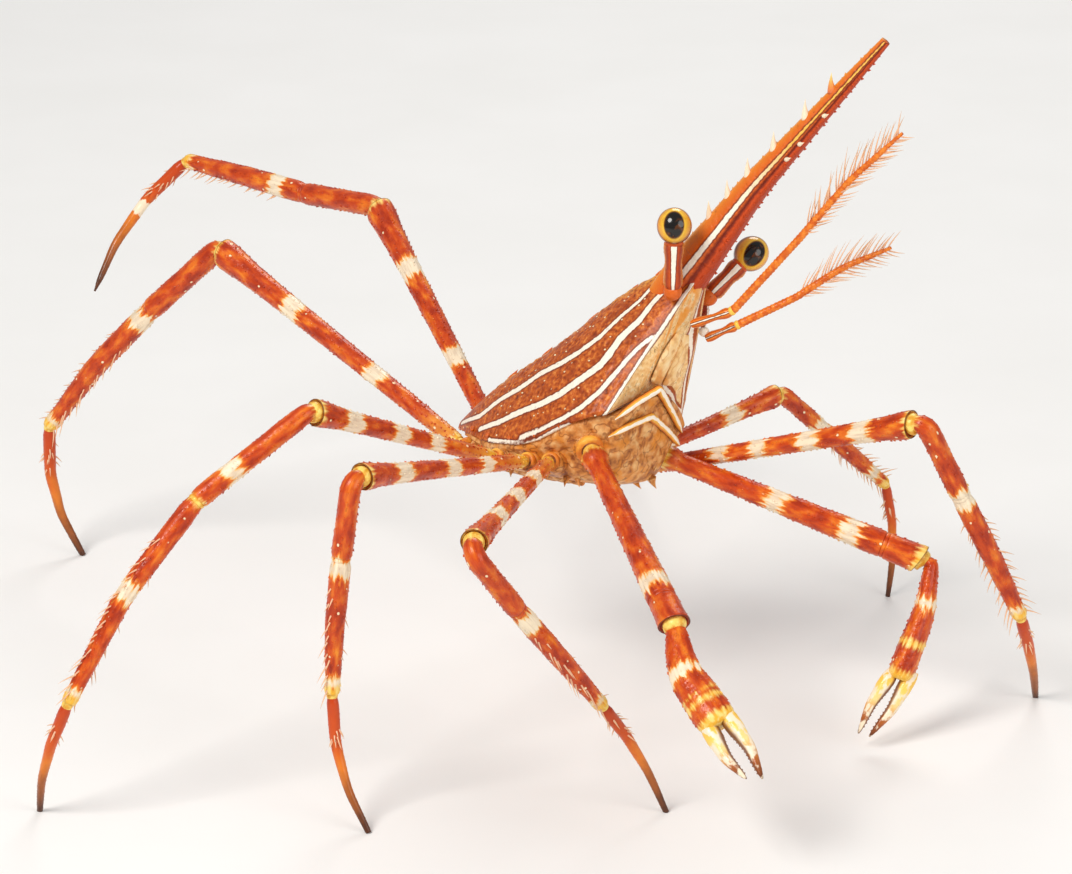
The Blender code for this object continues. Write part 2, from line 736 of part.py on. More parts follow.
def build_leg(leg):
    """The four articles of a walking leg. Its coxa is returned, to be fused to the thorax."""
    path = leg_path(leg)
    hip_start, hip_end = path.corner_span(0)
    knee_start, _ = path.corner_span(1)
    joint = sum(path.corner_span(2)) / 2
    ankle = sum(path.corner_span(4)) / 2
    girth = leg.girth
    half_gap = JOINT_GAP / 2
    merus = tube(path, hip_end + half_gap, knee_start - half_gap, MERUS, girth)
    carpus = tube(path, knee_start + half_gap, joint - half_gap, CARPUS, girth)
    propodus = tube(path, joint + half_gap, ankle - half_gap, PROPODUS, girth)
    bristled = joint + BRISTLED_SHARE * (ankle - joint)
    ways = (-1,) if leg.raised else (1, -1)
    seed = SEED + 10 * leg.number + leg.side
    bristles = setae(path, bristled, ankle - 0.8, BRISTLED_RADII, girth, seed, ways)
    make_node(f"{leg.name}_merus", [merus], "limb")
    make_node(f"{leg.name}_carpus", [carpus], "limb")
    make_node(f"{leg.name}_propodus", [propodus, *bristles], "limb")
    if leg.raised:
        dactyl = tube(path, ankle + half_gap, path.length, (*DACTYL, *RAISED_TIP), girth, sides=8)
    else:
        dactyl = foot_tube(path, ankle + half_gap, DACTYL, girth)
    make_node(f"{leg.name}_dactyl", [dactyl], "tip")
    return tube(path, 0.0, hip_end - half_gap, LEG_COXA, girth)


def finger_path(root, way, spread, length):
    """The middle line of a finger: out along spread, and back in at its point."""
    start = root + spread * FINGER_OFFSET
    middle = root + way * length * 0.5 + spread * (FINGER_OFFSET + FINGER_BULGE)
    tip = root + way * length + spread * FINGER_TIP_OFFSET
    return Path([start - way * FINGER_SUNK, start, middle, tip], [4.0, 6.0], spread)


def build_cheliped(limb):
    """Arm, wrist, palm with its fixed finger, and movable finger. Its coxa is returned."""
    hip = on_body(limb.hip)
    wrist = hip + heading(*limb.arm[1:]) * limb.arm[0]
    fork = wrist + heading(*limb.palm[1:]) * limb.palm[0]
    path = limb_path(limb, hip, [wrist, fork], [KNEE_BEND])
    hip_end = path.corner_span(0)[1]
    wrist_start, wrist_end = path.corner_span(1)
    half_gap = JOINT_GAP / 2
    share = hip_end + ARM_SHARE * (wrist_start - hip_end)
    spread = perpendicular(heading(*limb.spread), heading(*limb.palm[1:]))
    make_node(f"{limb.name}_arm", [tube(path, hip_end + half_gap, share - half_gap, ARM, limb.girth)], "limb")
    wrist_piece = tube(path, share + half_gap, wrist_start - half_gap, WRIST, limb.girth)
    make_node(f"{limb.name}_wrist", [wrist_piece], "limb")
    middle = wrist.lerp(fork, PALM_BOW_AT) + spread * limb.bow
    corners = [path.point(wrist_start + JOINT_GAP), wrist, middle, fork]
    palm_path = Path(corners, [KNEE_BEND, PALM_BEND], spread)
    palm = tube(palm_path, 0.0, palm_path.length, PALM, limb.hand * PALM_FLATNESS, 1 / PALM_FLATNESS)
    way = heading(*limb.finger[1:])
    fixed = finger_path(fork, way, spread * limb.hand, limb.finger[0])
    fixed_finger = tube(fixed, 0.0, fixed.length, FINGER, limb.hand, sides=8)
    moving = finger_path(fork + way * GAP, way, -spread * limb.hand, limb.finger[0])
    moving_finger = tube(moving, FINGER_SUNK + GAP, moving.length, FINGER, limb.hand, sides=8)
    make_node(f"{limb.name}_palm", [palm, fixed_finger], "limb")
    make_node(f"{limb.name}_finger", [moving_finger], "claw")
    return tube(path, 0.0, hip_end - half_gap, CLAW_COXA, limb.girth)


def build_thorax(coxae):
    pieces = [loft(thorax_rings()), *coxae]
    pieces += [chevron(points) for points in CHEVRONS]
    pieces += belly_spines()
    make_node("thorax", pieces, "belly")


def build_abdomen():
    """The tail flap, folded forward under the thorax, each ring of it a low step."""
    rings = []
    for step, (along, half) in enumerate(ABDOMEN):
        low = mixed(THORAX, along)[2] - GAP
        thick = ABDOMEN_THICKNESS + ABDOMEN_STEP * (step % 2)
        section = ((-1, 0), (-0.85, 0.8), (-0.4, 1), (0.4, 1), (0.85, 0.8), (1, 0))
        rings.append([on_body((along, half * out, low - thick * down)) for out, down in section])
    make_node("abdomen", [loft(rings)], "belly")


def build_maxilliped(side):
    """One of the two long plates that close over the mouth."""
    rings = []
    front = CARAPACE[-1]
    for level, half, thick in MOUTH_PLATE:
        face = front.along + front.lean * (level - LEAN_LEVEL) + FACE_DOME + GAP + thick
        centre = on_body((face, side * (half + 0.16), level))
        rings.append(ring(centre, along_body((0.37, 0, 0.93)), along_body((0.93, 0, -0.37)), half, thick, 8))
    make_node(f"maxilliped_{SIDE_NAMES[side]}", [loft(rings)], "mouth")


def build_eye(side):
    """An eye and the stalk that carries it."""
    root = on_body(orbit(side))
    centre = on_body(EYES[side])
    way = (centre - root).normalized()
    path = Path([root, centre], [], perpendicular(along_body((1, 0, 0)), way))
    start = ORBIT_RADIUS + JOINT_GAP
    end = path.length - EYE_RADIUS - GAP
    name = SIDE_NAMES[side]
    make_node(f"eye_stalk_{name}", [tube(path, start, end, STALK, STALK_RADIUS)], "carapace")
    make_node(f"eye_{name}", [ball(centre, EYE_RADIUS, way, EYE_STRETCH, 16, 10)], "eye")


# Middle lines of the antennae on the body: root, joint, start of the plume, tip.
ANTENNAE = {
    RIGHT: ((15.2, -0.9, 13.6), (20.4, -0.6, 15.4), (27.4, -0.4, 22.9), (38.4, -1.4, 33.0)),
    LEFT: ((14.5, 3.5, 12.6), (17.6, 4.6, 14.3), (22.9, 6.4, 17.4), (31.6, 9.0, 22.8)),
}


def build_antenna(side):
    """A jointed base and a plumed whip."""
    points = [on_body(p) for p in ANTENNAE[side]]
    middle = points[2].lerp(points[3], 0.5) + along_body((-0.3, 0, 0.6)) * 0.5
    path = Path([*points[:3], middle, points[3]], [2.0, 5.0, 12.0], along_body((-0.5, 0, 1)))
    joint = sum(path.corner_span(0)) / 2
    start = 0.9 if side == RIGHT else 0.3
    name = SIDE_NAMES[side]
    stem = tube(path, start, joint - JOINT_GAP / 2, ANTENNA_BASE, ANTENNA_RADIUS, sides=8)
    make_node(f"antenna_base_{name}", [stem], "limb")
    lash = tube(path, joint + JOINT_GAP / 2, path.length, ANTENNA_WHIP, ANTENNA_RADIUS, sides=8)
    plume = plume_hairs(path, sum(path.corner_span(1)) / 2 + 0.5, path.length - 0.4, side)
    make_node(f"antenna_{name}", [lash, *plume], "limb")


def plume_hairs(path, start, end, side):
    """Bristles along both edges of an antenna, longest in the middle of the plume."""
    draw = random.Random(SEED + side)
    lean = math.radians(38)
    count = 13
    pieces = []
    for way, longest in ((1, 2.1), (-1, 1.6)):
        for i in range(count):
            share = (i + (0.3 if way == 1 else 0.7)) / count
            centre, tangent, normal = path.frame(start + (end - start) * share)
            fullness = 0.55 + 0.45 * math.sin(math.pi * min(1.0, share * 1.1))
            length = longest * fullness * draw.uniform(0.85, 1.1)
            direction = tangent * math.cos(lean) + normal * way * math.sin(lean)
            pieces.append(spine(centre + normal * way * 0.15, direction, length, 0.25, sunk=0.12, sides=4))
    return pieces


def stand_on_origin():
    """Moves every mesh so that the origin lies under the middle of the model, on the floor."""
    nodes = [obj for obj in bpy.context.scene.objects if obj.type == "MESH"]
    places = [v.co for obj in nodes for v in obj.data.vertices]
    middle = [(min(p[i] for p in places) + max(p[i] for p in places)) / 2 for i in range(2)]
    shift = Matrix.Translation((-middle[0], -middle[1], 0))
    crab = bpy.data.objects.new("arrow_crab", None)
    bpy.context.scene.collection.objects.link(crab)
    for obj in nodes:
        obj.data.transform(shift)
        obj.parent = crab


def main():
    for obj in list(bpy.data.objects):
        bpy.data.objects.remove(obj, do_unlink=True)
    coxae = [build_leg(leg) for leg in LEGS]
    coxae += [build_cheliped(limb) for limb in CHELIPEDS]
    build_carapace()
    build_thorax(coxae)
    build_abdomen()
    for side in (RIGHT, LEFT):
        build_maxilliped(side)
        build_eye(side)
        build_antenna(side)
    stand_on_origin()


main()
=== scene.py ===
"""Yellowline arrow crab: shells, bands, stripes, bristles and eyes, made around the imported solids.

Sizes are millimetres. Places on the body are (along, out, up): along runs from tail to rostrum, out is
positive on the animal's left, up is away from its underside. World places are X right, Y away and Z up,
with the floor at zero. Piece turns them into the frame's metres. A profile is rows of (share of a length,
radius). A value named after a mark, such as pale or stripe, is how far inside that mark a place lies.
"""

from __future__ import annotations

import logging
import math
import random
from collections.abc import Callable
from dataclasses import dataclass
from enum import Enum
from functools import cached_property

import bpy
import numpy as np
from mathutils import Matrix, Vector

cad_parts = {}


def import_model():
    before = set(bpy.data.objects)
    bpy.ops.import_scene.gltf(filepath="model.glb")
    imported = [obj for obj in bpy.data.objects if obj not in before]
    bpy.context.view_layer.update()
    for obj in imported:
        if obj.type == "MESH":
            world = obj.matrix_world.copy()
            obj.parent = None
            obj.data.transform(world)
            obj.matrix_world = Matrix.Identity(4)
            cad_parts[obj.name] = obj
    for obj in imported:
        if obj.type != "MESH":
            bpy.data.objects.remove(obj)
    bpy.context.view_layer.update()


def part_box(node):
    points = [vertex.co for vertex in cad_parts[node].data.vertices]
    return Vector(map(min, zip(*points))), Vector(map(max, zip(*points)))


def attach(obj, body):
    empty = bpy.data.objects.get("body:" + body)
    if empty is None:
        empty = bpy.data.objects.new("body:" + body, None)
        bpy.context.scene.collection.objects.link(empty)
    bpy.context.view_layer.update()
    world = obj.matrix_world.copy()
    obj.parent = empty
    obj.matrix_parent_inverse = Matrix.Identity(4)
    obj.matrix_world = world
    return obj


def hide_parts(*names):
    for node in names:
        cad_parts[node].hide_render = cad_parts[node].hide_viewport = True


log = logging.getLogger("arrow_crab")

MM = 0.001
SEED = 41
BODY_NAME = "root"
# The gap between two articles of a limb.
JOINT_GAP = 0.4
HALF_GAP = JOINT_GAP / 2
# What a mark's value is where there is no such mark.
UNMARKED = -9.0
# The side of each bristle's patch on its coat's flat map, and the part of the map that the coat takes.
COAT_PATCH, COAT_PART = 0.003, 0.99
# A scatter of grains repeats after so many rows. Then a grain's place in its cell, its radius and its height:
# the least of each, and how much chance adds.
SCATTER_ROWS = 257
GRAIN_PLACE, GRAIN_RADIUS, GRAIN_HEIGHT = (0.2, 0.6), (0.22, 0.16), (0.4, 0.6)
# The grains on limbs: mean distance apart, and how far from each end of an article they fade.
GRAIN_CELL, GRAIN_FADE = 0.42, 0.3
# The inside of a hollow end: distance back from the end, and radius as a share of the end's own.
CUP = ((0.01, 0.93), (0.1, 0.88), (0.42, 0.84), (0.46, 0.5))
# Where a slanting end starts to slant, before the end.
SLANT_LENGTH = 1.8
RING_DEPTH = 0.07
# How deep a cone's foot is sunk, as a share of its length, and how far its point bends over.
CONE_SUNK, CONE_BEND = 0.15, 0.25
TOOTH_SPACING, TOOTH_MARGIN = 0.6, 0.5
TOOTH_HEIGHTS = (0.09, 0.18)

Pair = tuple[float, float]
Triple = tuple[float, float, float]
Row = tuple[float, ...]
Rows = tuple[Row, ...]
Colour = tuple[float, float, float, float]
Marks = dict[str, np.ndarray]
Socket = bpy.types.NodeSocket
Material = bpy.types.Material


class Side(Enum):
    """The animal's two sides, with the sign of their out coordinate."""

    LEFT = 1
    RIGHT = -1

    @property
    def word(self) -> str:
        """The side as node names spell it."""
        return self.name.lower()


def unit(vector: np.ndarray) -> np.ndarray:
    """Vectors of length one, along the last axis."""
    return vector / np.maximum(np.linalg.norm(vector, axis=-1, keepdims=True), 1e-12)


def across(vector: np.ndarray, axis: np.ndarray) -> np.ndarray:
    """The part of vectors at right angles to axes, as unit vectors."""
    return unit(vector - axis * np.sum(vector * axis, axis=-1, keepdims=True))


def heading(yaw: float, rise: float) -> np.ndarray:
    """Finds a direction in the world.

    Args:
        yaw: Degrees about Z, from +X towards +Y.
        rise: Degrees above the floor.

    Returns:
        The unit vector.
    """
    flat = math.cos(math.radians(rise))
    turn = math.radians(yaw)
    return np.array((math.cos(turn) * flat, math.sin(turn) * flat, math.sin(math.radians(rise))))


def eased(rows: np.ndarray, position: np.ndarray) -> np.ndarray:
    """Reads a table between its rows by smooth curves that never overshoot.

    Args:
        rows: Rows of numbers led by their position, in rising order.
        position: Where to read.

    Returns:
        One row of values, without the position, for each place.
    """
    at, values = rows[:, 0], rows[:, 1:]
    step = np.diff(at)[:, None]
    rise = np.diff(values, axis=0) / step
    slope = np.zeros_like(values)
    same = rise[:-1] * rise[1:] > 0
    mean = 2 * rise[:-1] * rise[1:] / np.where(same, rise[:-1] + rise[1:], 1)
    slope[1:-1] = np.where(same, mean, 0)
    slope[0], slope[-1] = rise[0], rise[-1]
    place = np.clip(np.atleast_1d(position), at[0], at[-1])
    low = np.clip(np.searchsorted(at, place, side="right") - 1, 0, len(at) - 2)
    t = ((place - at[low]) / (at[low + 1] - at[low]))[:, None]
    h = step[low]
    curve = (1 + 2 * t) * (1 - t) ** 2 * values[low] + t * (1 - t) ** 2 * h * slope[low]
    return curve + t**2 * (3 - 2 * t) * values[low + 1] + t**2 * (t - 1) * h * slope[low + 1]


def granules(around: np.ndarray, along: np.ndarray, turn: float, cell: float, seed: int) -> np.ndarray:
    """Heights from 0 to 1 of small round grains scattered over a surface that closes on itself.

    Args:
        around: Distance round the surface.
        along: Distance along it, of the same shape.
        turn: Distance once round.
        cell: Mean distance between grains.
        seed: Which scatter.

    Returns:
        The height of the nearest grain at each place.
    """
    draw = np.random.default_rng(seed)
    columns = max(4, round(turn / cell))
    offsets = draw.random((SCATTER_ROWS, columns, 3))
    u, v = around / turn * columns, along / cell
    column, row = np.floor(u).astype(int), np.floor(v).astype(int)
    height = np.zeros_like(u)
    for i in (-1, 0, 1):
        for j in (-1, 0, 1):
            grain = offsets[(row + j) % SCATTER_ROWS, (column + i) % columns]
            du = u - (column + i + GRAIN_PLACE[0] + GRAIN_PLACE[1] * grain[..., 0])
            dv = v - (row + j + GRAIN_PLACE[0] + GRAIN_PLACE[1] * grain[..., 1])
            size = GRAIN_RADIUS[0] + GRAIN_RADIUS[1] * grain[..., 2]
            dome = np.clip(1 - (du**2 + dv**2) / size**2, 0, 1)
            height = np.maximum(height, dome * (GRAIN_HEIGHT[0] + GRAIN_HEIGHT[1] * grain[..., 2]))
    return height


@dataclass(frozen=True)
class BodyFrame:
    """The body's place in the world.

    middle is a world place. turn runs from +X to the viewer, pitch raises the front and roll lets the left
    side hang, all in degrees.
    """

    middle: Triple
    turn: float
    pitch: float
    roll: float

    @cached_property
    def axes(self) -> np.ndarray:
        """The world directions of along, out and up.

        Returns:
            One unit vector a row.
        """
        turn, pitch, roll = (math.radians(a) for a in (self.turn, self.pitch, self.roll))
        flat = math.cos(pitch)
        along = np.array((math.cos(turn) * flat, -math.sin(turn) * flat, math.sin(pitch)))
        level = np.array((math.sin(turn), math.cos(turn), 0.0))
        upright = np.cross(along, level)
        out = level * math.cos(roll) - upright * math.sin(roll)
        up = upright * math.cos(roll) + level * math.sin(roll)
        return np.stack((along, out, up))

    def point(self, places: np.ndarray | tuple) -> np.ndarray:
        """World places of places on the body."""
        return self.middle + np.asarray(places, float) @ self.axes

    def way(self, direction: Triple) -> np.ndarray:
        """The world unit vector of a direction on the body."""
        return unit(np.asarray(direction, float) @ self.axes)


BODY = BodyFrame((1.5, -9.0, 25.2), 36, 8, 19)


class Path:
    """A line through corners, each rounded by its own radius, with a frame carried along it."""

    # Distance between carried frames, and half the length over which a tangent is taken.
    GRID, REACH = 0.08, 0.12
    # A corner of fewer degrees stays sharp, and a rounded one gets a point every so many degrees.
    SHARP, STEP = 2, 4
    # The part of a corner's shorter side that its rounding may take up.
    ROOM = 0.45

    def __init__(self, corners: list[np.ndarray], radii: list[float], side: np.ndarray) -> None:
        """Draws the line.

        Args:
            corners: World places.
            radii: One radius for each inner corner.
            side: The way of the first normal.
        """
        points = [corners[0]]
        self.opened: list[tuple[int, int]] = []
        for before, corner, after, radius in zip(corners, corners[1:], corners[2:], radii):
            opened = len(points)
            points.extend(self.rounded(before, corner, after, radius))
            self.opened.append((opened, len(points) - 1))
        points.append(corners[-1])
        self.points = np.array(points)
        lengths = np.linalg.norm(np.diff(self.points, axis=0), axis=1)
        self.places = np.concatenate(([0.0], np.cumsum(lengths)))
        self.length = float(self.places[-1])
        self.grid = np.linspace(0, self.length, max(8, int(self.length / self.GRID)))
        tangents = self.tangents(self.grid)
        normals = [across(side, tangents[0])]
        for tangent in tangents[1:]:
            normals.append(across(normals[-1], tangent))
        self.normals = np.array(normals)

    def rounded(self, before: np.ndarray, corner: np.ndarray, after: np.ndarray, radius: float) -> np.ndarray:
        """Rounds one corner.

        Args:
            before: The corner before it.
            corner: The corner itself.
            after: The corner after it.
            radius: Its radius, made smaller where there is no room.

        Returns:
            Points along the arc, or the corner alone where the line is nearly straight.
        """
        first, second = unit(corner - before), unit(after - corner)
        angle = math.acos(float(np.clip(first @ second, -1, 1)))
        if angle < math.radians(self.SHARP):
            return corner[None]
        room = self.ROOM * min(np.linalg.norm(corner - before), np.linalg.norm(after - corner))
        radius = min(radius, room / math.tan(angle / 2))
        start = corner - first * radius * math.tan(angle / 2)
        inward = across(second, first)
        steps = max(3, math.ceil(math.degrees(angle) / self.STEP))
        turns = np.linspace(0, angle, steps + 1)[:, None]
        return start + (first * np.sin(turns) + inward * (1 - np.cos(turns))) * radius

    def at(self, places: np.ndarray | float) -> np.ndarray:
        """World places at distances along the path."""
        return np.stack([np.interp(places, self.places, self.points[:, i]) for i in range(3)], axis=-1)

    def tangents(self, places: np.ndarray) -> np.ndarray:
        """Unit vectors along the path at distances along it."""
        return unit(self.at(np.asarray(places) + self.REACH) - self.at(np.asarray(places) - self.REACH))

    def frames(self, places: np.ndarray | float) -> tuple[np.ndarray, np.ndarray, np.ndarray]:
        """Reads the carried frame.

        Args:
            places: Distances along the path.

        Returns:
            Points, tangents and normals there.
        """
        tangent = self.tangents(places)
        normal = np.stack([np.interp(places, self.grid, self.normals[:, i]) for i in range(3)], axis=-1)
        return self.at(places), tangent, across(normal, tangent)

    def span(self, index: int) -> Pair:
        """The distances at which a rounded corner starts and ends."""
        start, end = self.opened[index]
        return float(self.places[start]), float(self.places[end])

    def middle(self, index: int) -> float:
        """The distance of a rounded corner's middle."""
        return sum(self.span(index)) / 2


def turned(turn: np.ndarray | float, middle: float = 0.0) -> np.ndarray:
    """The angle between turns round a limb and a middle one, on either side of it."""
    return np.abs((turn - middle + math.pi) % (2 * math.pi) - math.pi)


def swell(value: np.ndarray, middle: float, width: float) -> np.ndarray:
    """A smooth swelling, one at its middle and nearly nought two widths away."""
    return np.exp(-(((value - middle) / width) ** 2))


def signed_bands(place: np.ndarray, bands: tuple[Pair, ...]) -> np.ndarray:
    """Measures places against bands.

    Args:
        place: Distances along a line.
        bands: Each band's middle and half length on the line.

    Returns:
        How far inside the nearest band each place lies, below zero outside.
    """
    inside = np.full(np.shape(place), UNMARKED)
    for middle, half in bands:
        inside = np.maximum(inside, half - np.abs(place - middle))
    return inside


def skin_faces(many: int, sides: int) -> list[np.ndarray]:
    """Numbers the faces of a closed surface through rings.

    Args:
        many: How many rings there are.
        sides: Points round each. After the rings come two more points, the middles of the ends.

    Returns:
        Arrays of point numbers, one row a face: the sides, the first end and the last.
    """
    low = np.arange(many - 1)[:, None] * sides + np.arange(sides)[None, :]
    turn = np.arange(many - 1)[:, None] * sides + (np.arange(sides)[None, :] + 1) % sides
    quads = np.stack((low, turn, turn + sides, low + sides), axis=-1).reshape(-1, 4)
    here, after = np.arange(sides), (np.arange(sides) + 1) % sides
    first = np.stack((np.full(sides, many * sides), after, here), axis=-1)
    top = (many - 1) * sides
    last = np.stack((np.full(sides, many * sides + 1), top + here, top + after), axis=-1)
    return [quads, first, last]


class Piece:
    """Points, faces and values of one visible piece, gathered in millimetres and built in metres."""

    origin = np.zeros(3)

    def __init__(self, name: str) -> None:
        """Starts an empty piece.

        Args:
            name: Its own name in the table.
        """
        self.name = name
        self.points: list[np.ndarray] = []
        self.faces: list[np.ndarray] = []
        self.values: dict[str, list[tuple[int, np.ndarray]]] = {}
        self.patches: list[tuple[int, np.ndarray]] = []
        self.count = 0

    def add(self, points: np.ndarray, faces: list[np.ndarray], **values: np.ndarray) -> None:
        """Adds a closed surface.

        Args:
            points: Its points.
            faces: Arrays of point numbers, one row a face, counted from the first of these points.
            values: Named values as (point, one number or three).
        """
        flat = points.reshape(-1, 3)
        for name, value in values.items():
            self.values.setdefault(name, []).append((self.count, value))
        self.points.append(flat)
        self.faces.extend(face + self.count for face in faces)
        self.count += len(flat)

    def loft(self, rings: np.ndarray, **values: np.ndarray) -> None:
        """Adds a closed surface through rings of points, with its ends drawn in to their middles.

        Args:
            rings: Points as (ring, place round it, xyz).
            values: Named values as (ring, place round it), or with xyz last.
        """
        many, sides, _ = rings.shape
        ends = np.stack((rings[0].mean(axis=0), rings[-1].mean(axis=0)))
        grown = {}
        for name, value in values.items():
            caps = np.stack((value[0].mean(axis=0), value[-1].mean(axis=0)))
            grown[name] = np.concatenate((value.reshape(many * sides, -1), caps.reshape(2, -1)))
        self.add(np.concatenate((rings.reshape(-1, 3), ends)), skin_faces(many, sides), **grown)

    def cones(
        self,
        roots: np.ndarray,
        ways: np.ndarray,
        leans: np.ndarray,
        lengths: np.ndarray,
        radii: np.ndarray,
        taper: tuple[float, ...],
        *,
        sides: int = 5,
        patch: np.ndarray | None = None,
        **values: np.ndarray,
    ) -> None:
        """Adds many bent, pointed cones, such as bristles, teeth or spines.

        Args:
            roots: Where they leave the shell.
            ways: Their ways at the root.
            leans: What they bend towards.
            lengths: Their lengths.
            radii: Their radii at the root.
            taper: Radii from just under the root to the point, as multiples of the root's.
            sides: Points round each ring.
            patch: Places of their roots on the shell's flat map, for a coat.
            values: Named values, one number or three for each cone.
        """
        many, steps = len(roots), len(taper)
        shares = np.linspace(-CONE_SUNK, 1, steps)
        bend = np.clip(shares, 0, 1) ** 2 * CONE_BEND
        reach = lengths[:, None, None]
        centres = roots[:, None] + ways[:, None] * shares[:, None] * reach
        centres = centres + leans[:, None] * bend[:, None] * reach
        tangents = unit(np.gradient(centres, axis=1))
        normals = across((np.cross(ways, leans) + 0.01)[:, None], tangents)
        beside = np.cross(tangents, normals)
        turns = np.linspace(0, 2 * math.pi, sides, endpoint=False)[:, None]
        ringed = normals[:, :, None] * np.cos(turns) + beside[:, :, None] * np.sin(turns)
        rings = centres[:, :, None] + ringed * (radii[:, None] * np.array(taper))[:, :, None, None]
        each = steps * sides + 2
        ends = np.stack((rings[:, 0].mean(axis=1), rings[:, -1].mean(axis=1)), axis=1)
        points = np.concatenate((rings.reshape(many, -1, 3), ends), axis=1)
        offsets = np.arange(many)[:, None, None] * each
        faces = [(face[None] + offsets).reshape(-1, face.shape[1]) for face in skin_faces(steps, sides)]
        share = np.concatenate((np.repeat(np.clip(shares, 0, 1), sides), (0.0, 1.0)))
        spread = {
            name: np.repeat(value, each, axis=0).reshape(many * each, -1) for name, value in values.items()
        }
        spread["share"] = np.tile(share, many)[:, None]
        if patch is not None:
            chance = np.random.default_rng(many).random((many * each, 2))
            self.patches.append((self.count, np.repeat(patch, each, axis=0) + COAT_PATCH * chance))
        self.add(points, faces, **spread)

    def teeth(
        self,
        path: Path,
        start: float,
        end: float,
        profile: Rows,
        girth: float,
        rows: int,
        seed: int,
        *,
        depth: float = 1.0,
        **bands: tuple[Pair, ...],
    ) -> None:
        """Adds rows of small teeth that lean towards the tip, in the colours of the shell under them.

        Args:
            path: The limb's middle line.
            start: Where the article begins on it.
            end: Where the article ends.
            profile: Radii at shares of its length.
            girth: What multiplies the radii.
            rows: How many rows there are round the limb.
            seed: Which scatter.
            depth: The radius along the path's normal, as a multiple of the other.
            bands: Named bands as (middle, half length) on the line.
        """
        draw = np.random.default_rng(seed)
        count = max(2, int((end - start - 2 * TOOTH_MARGIN) / TOOTH_SPACING))
        places = np.linspace(start + TOOTH_MARGIN, end - TOOTH_MARGIN, count)[:, None]
        places = places + draw.uniform(-0.2, 0.2, (count, rows))
        turns = 2 * math.pi * (np.arange(rows) + 0.5) / rows + draw.normal(0, 0.1, (count, rows))
        place, turn = places.ravel(), turns.ravel()
        radius = eased(np.array(profile), (place - start) / (end - start))[:, 0] * girth
        centre, tangent, normal = path.frames(place)
        deep, wide = radius * depth * np.cos(turn), radius * np.sin(turn)
        out = normal * deep[:, None] + np.cross(tangent, normal) * wide[:, None]
        values = {name: signed_bands(place, parts) for name, parts in bands.items()}
        tall = draw.uniform(*TOOTH_HEIGHTS, len(place))
        self.cones(centre + out * 0.97, unit(unit(out) + tangent * 0.6), tangent, tall, tall * 0.8,
                   TOOTH_TAPER,
                   limb=np.stack((deep, wide, place), axis=-1), **values)

    def tube(
        self,
        path: Path,
        start: float,
        end: float,
        profile: Rows,
        *,
        girth: float = 1.0,
        depth: float = 1.0,
        sides: int = 36,
        step: float = 0.17,
        grain: float = 0.0,
        seed: int = SEED,
        floor: bool = False,
        rings: float = 0.0,
        cut: float = 0.0,
        hollow: bool = False,
        shape: Callable[..., np.ndarray] | None = None,
        marks: Callable[..., Marks] | None = None,
        **bands: tuple[Pair, ...],
    ) -> None:
        """Adds a length of a limb, with the coordinates and the bands that its finish reads.

        Args:
            path: Its middle line.
            start: Where it begins on the line.
            end: Where it ends.
            profile: Radii at shares of its length.
            girth: What multiplies the radii.
            depth: The radius along the path's normal, as a multiple of the other.
            sides: Points round each ring.
            step: Distance between rings.
            grain: Height of its grains.
            seed: Which scatter of grains.
            floor: Whether its end is cut flat by the floor.
            rings: Spacing of fine rings round it, or nought for none.
            cut: How much further its end reaches on its outer side than on its inner side, halved.
            hollow: Whether its end is a cup with a thin lip.
            shape: What multiplies the radius, from place and turn.
            marks: What gives further named values from place, turn and radius.
            bands: Named bands as (middle, half length) on the line.
        """
        places = np.linspace(start, end, max(6, math.ceil((end - start) / step)))
        share = (places - start) / (end - start)
        radius = eased(np.array(profile), share)[:, 0] * girth
        if hollow:
            back, narrow = np.array(CUP).T
            places = np.concatenate((places, end - back))
            radius = np.concatenate((radius, radius[-1] * narrow))
        turns = np.linspace(0, 2 * math.pi, sides, endpoint=False)
        place, turn = np.meshgrid(places, turns, indexing="ij")
        full = np.repeat(radius[:, None], sides, axis=1)
        if shape is not None:
            full = full * shape(place, turn)
        if grain:
            mean = float(radius.mean())
            relief = granules(turn * mean, place, 2 * math.pi * mean, GRAIN_CELL, seed) - 0.25
            fade = np.clip(np.minimum(place - start, end - place) / GRAIN_FADE, 0, 1)
            wave = np.sin(place * 1.7 + 2 * np.sin(turn + seed)) * 0.25
            full = full + grain * (relief + wave) * fade
        if rings:
            full = full * (1 + RING_DEPTH * np.cos(place * 2 * math.pi / rings))
        point, tangent, normal = path.frames(places)
        beside = np.cross(tangent, normal)
        wide, deep = full * np.sin(turn), full * depth * np.cos(turn)
        hoops = point[:, None] + normal[:, None] * deep[..., None] + beside[:, None] * wide[..., None]
        if cut:
            reach = cut * np.cos(turn) * np.clip((place - end) / SLANT_LENGTH + 1, 0, 1) ** 2
            hoops = hoops + tangent[:, None] * reach[..., None]
        if floor:
            hoops[..., 2] = np.maximum(hoops[..., 2], 0.0)
        values = {name: signed_bands(place, parts) for name, parts in bands.items()}
        if marks is not None:
            values.update(marks(place, turn, full))
        values["limb"] = np.stack((deep, wide, place), axis=-1)
        self.loft(hoops, share=(place - start) / (end - start), **values)

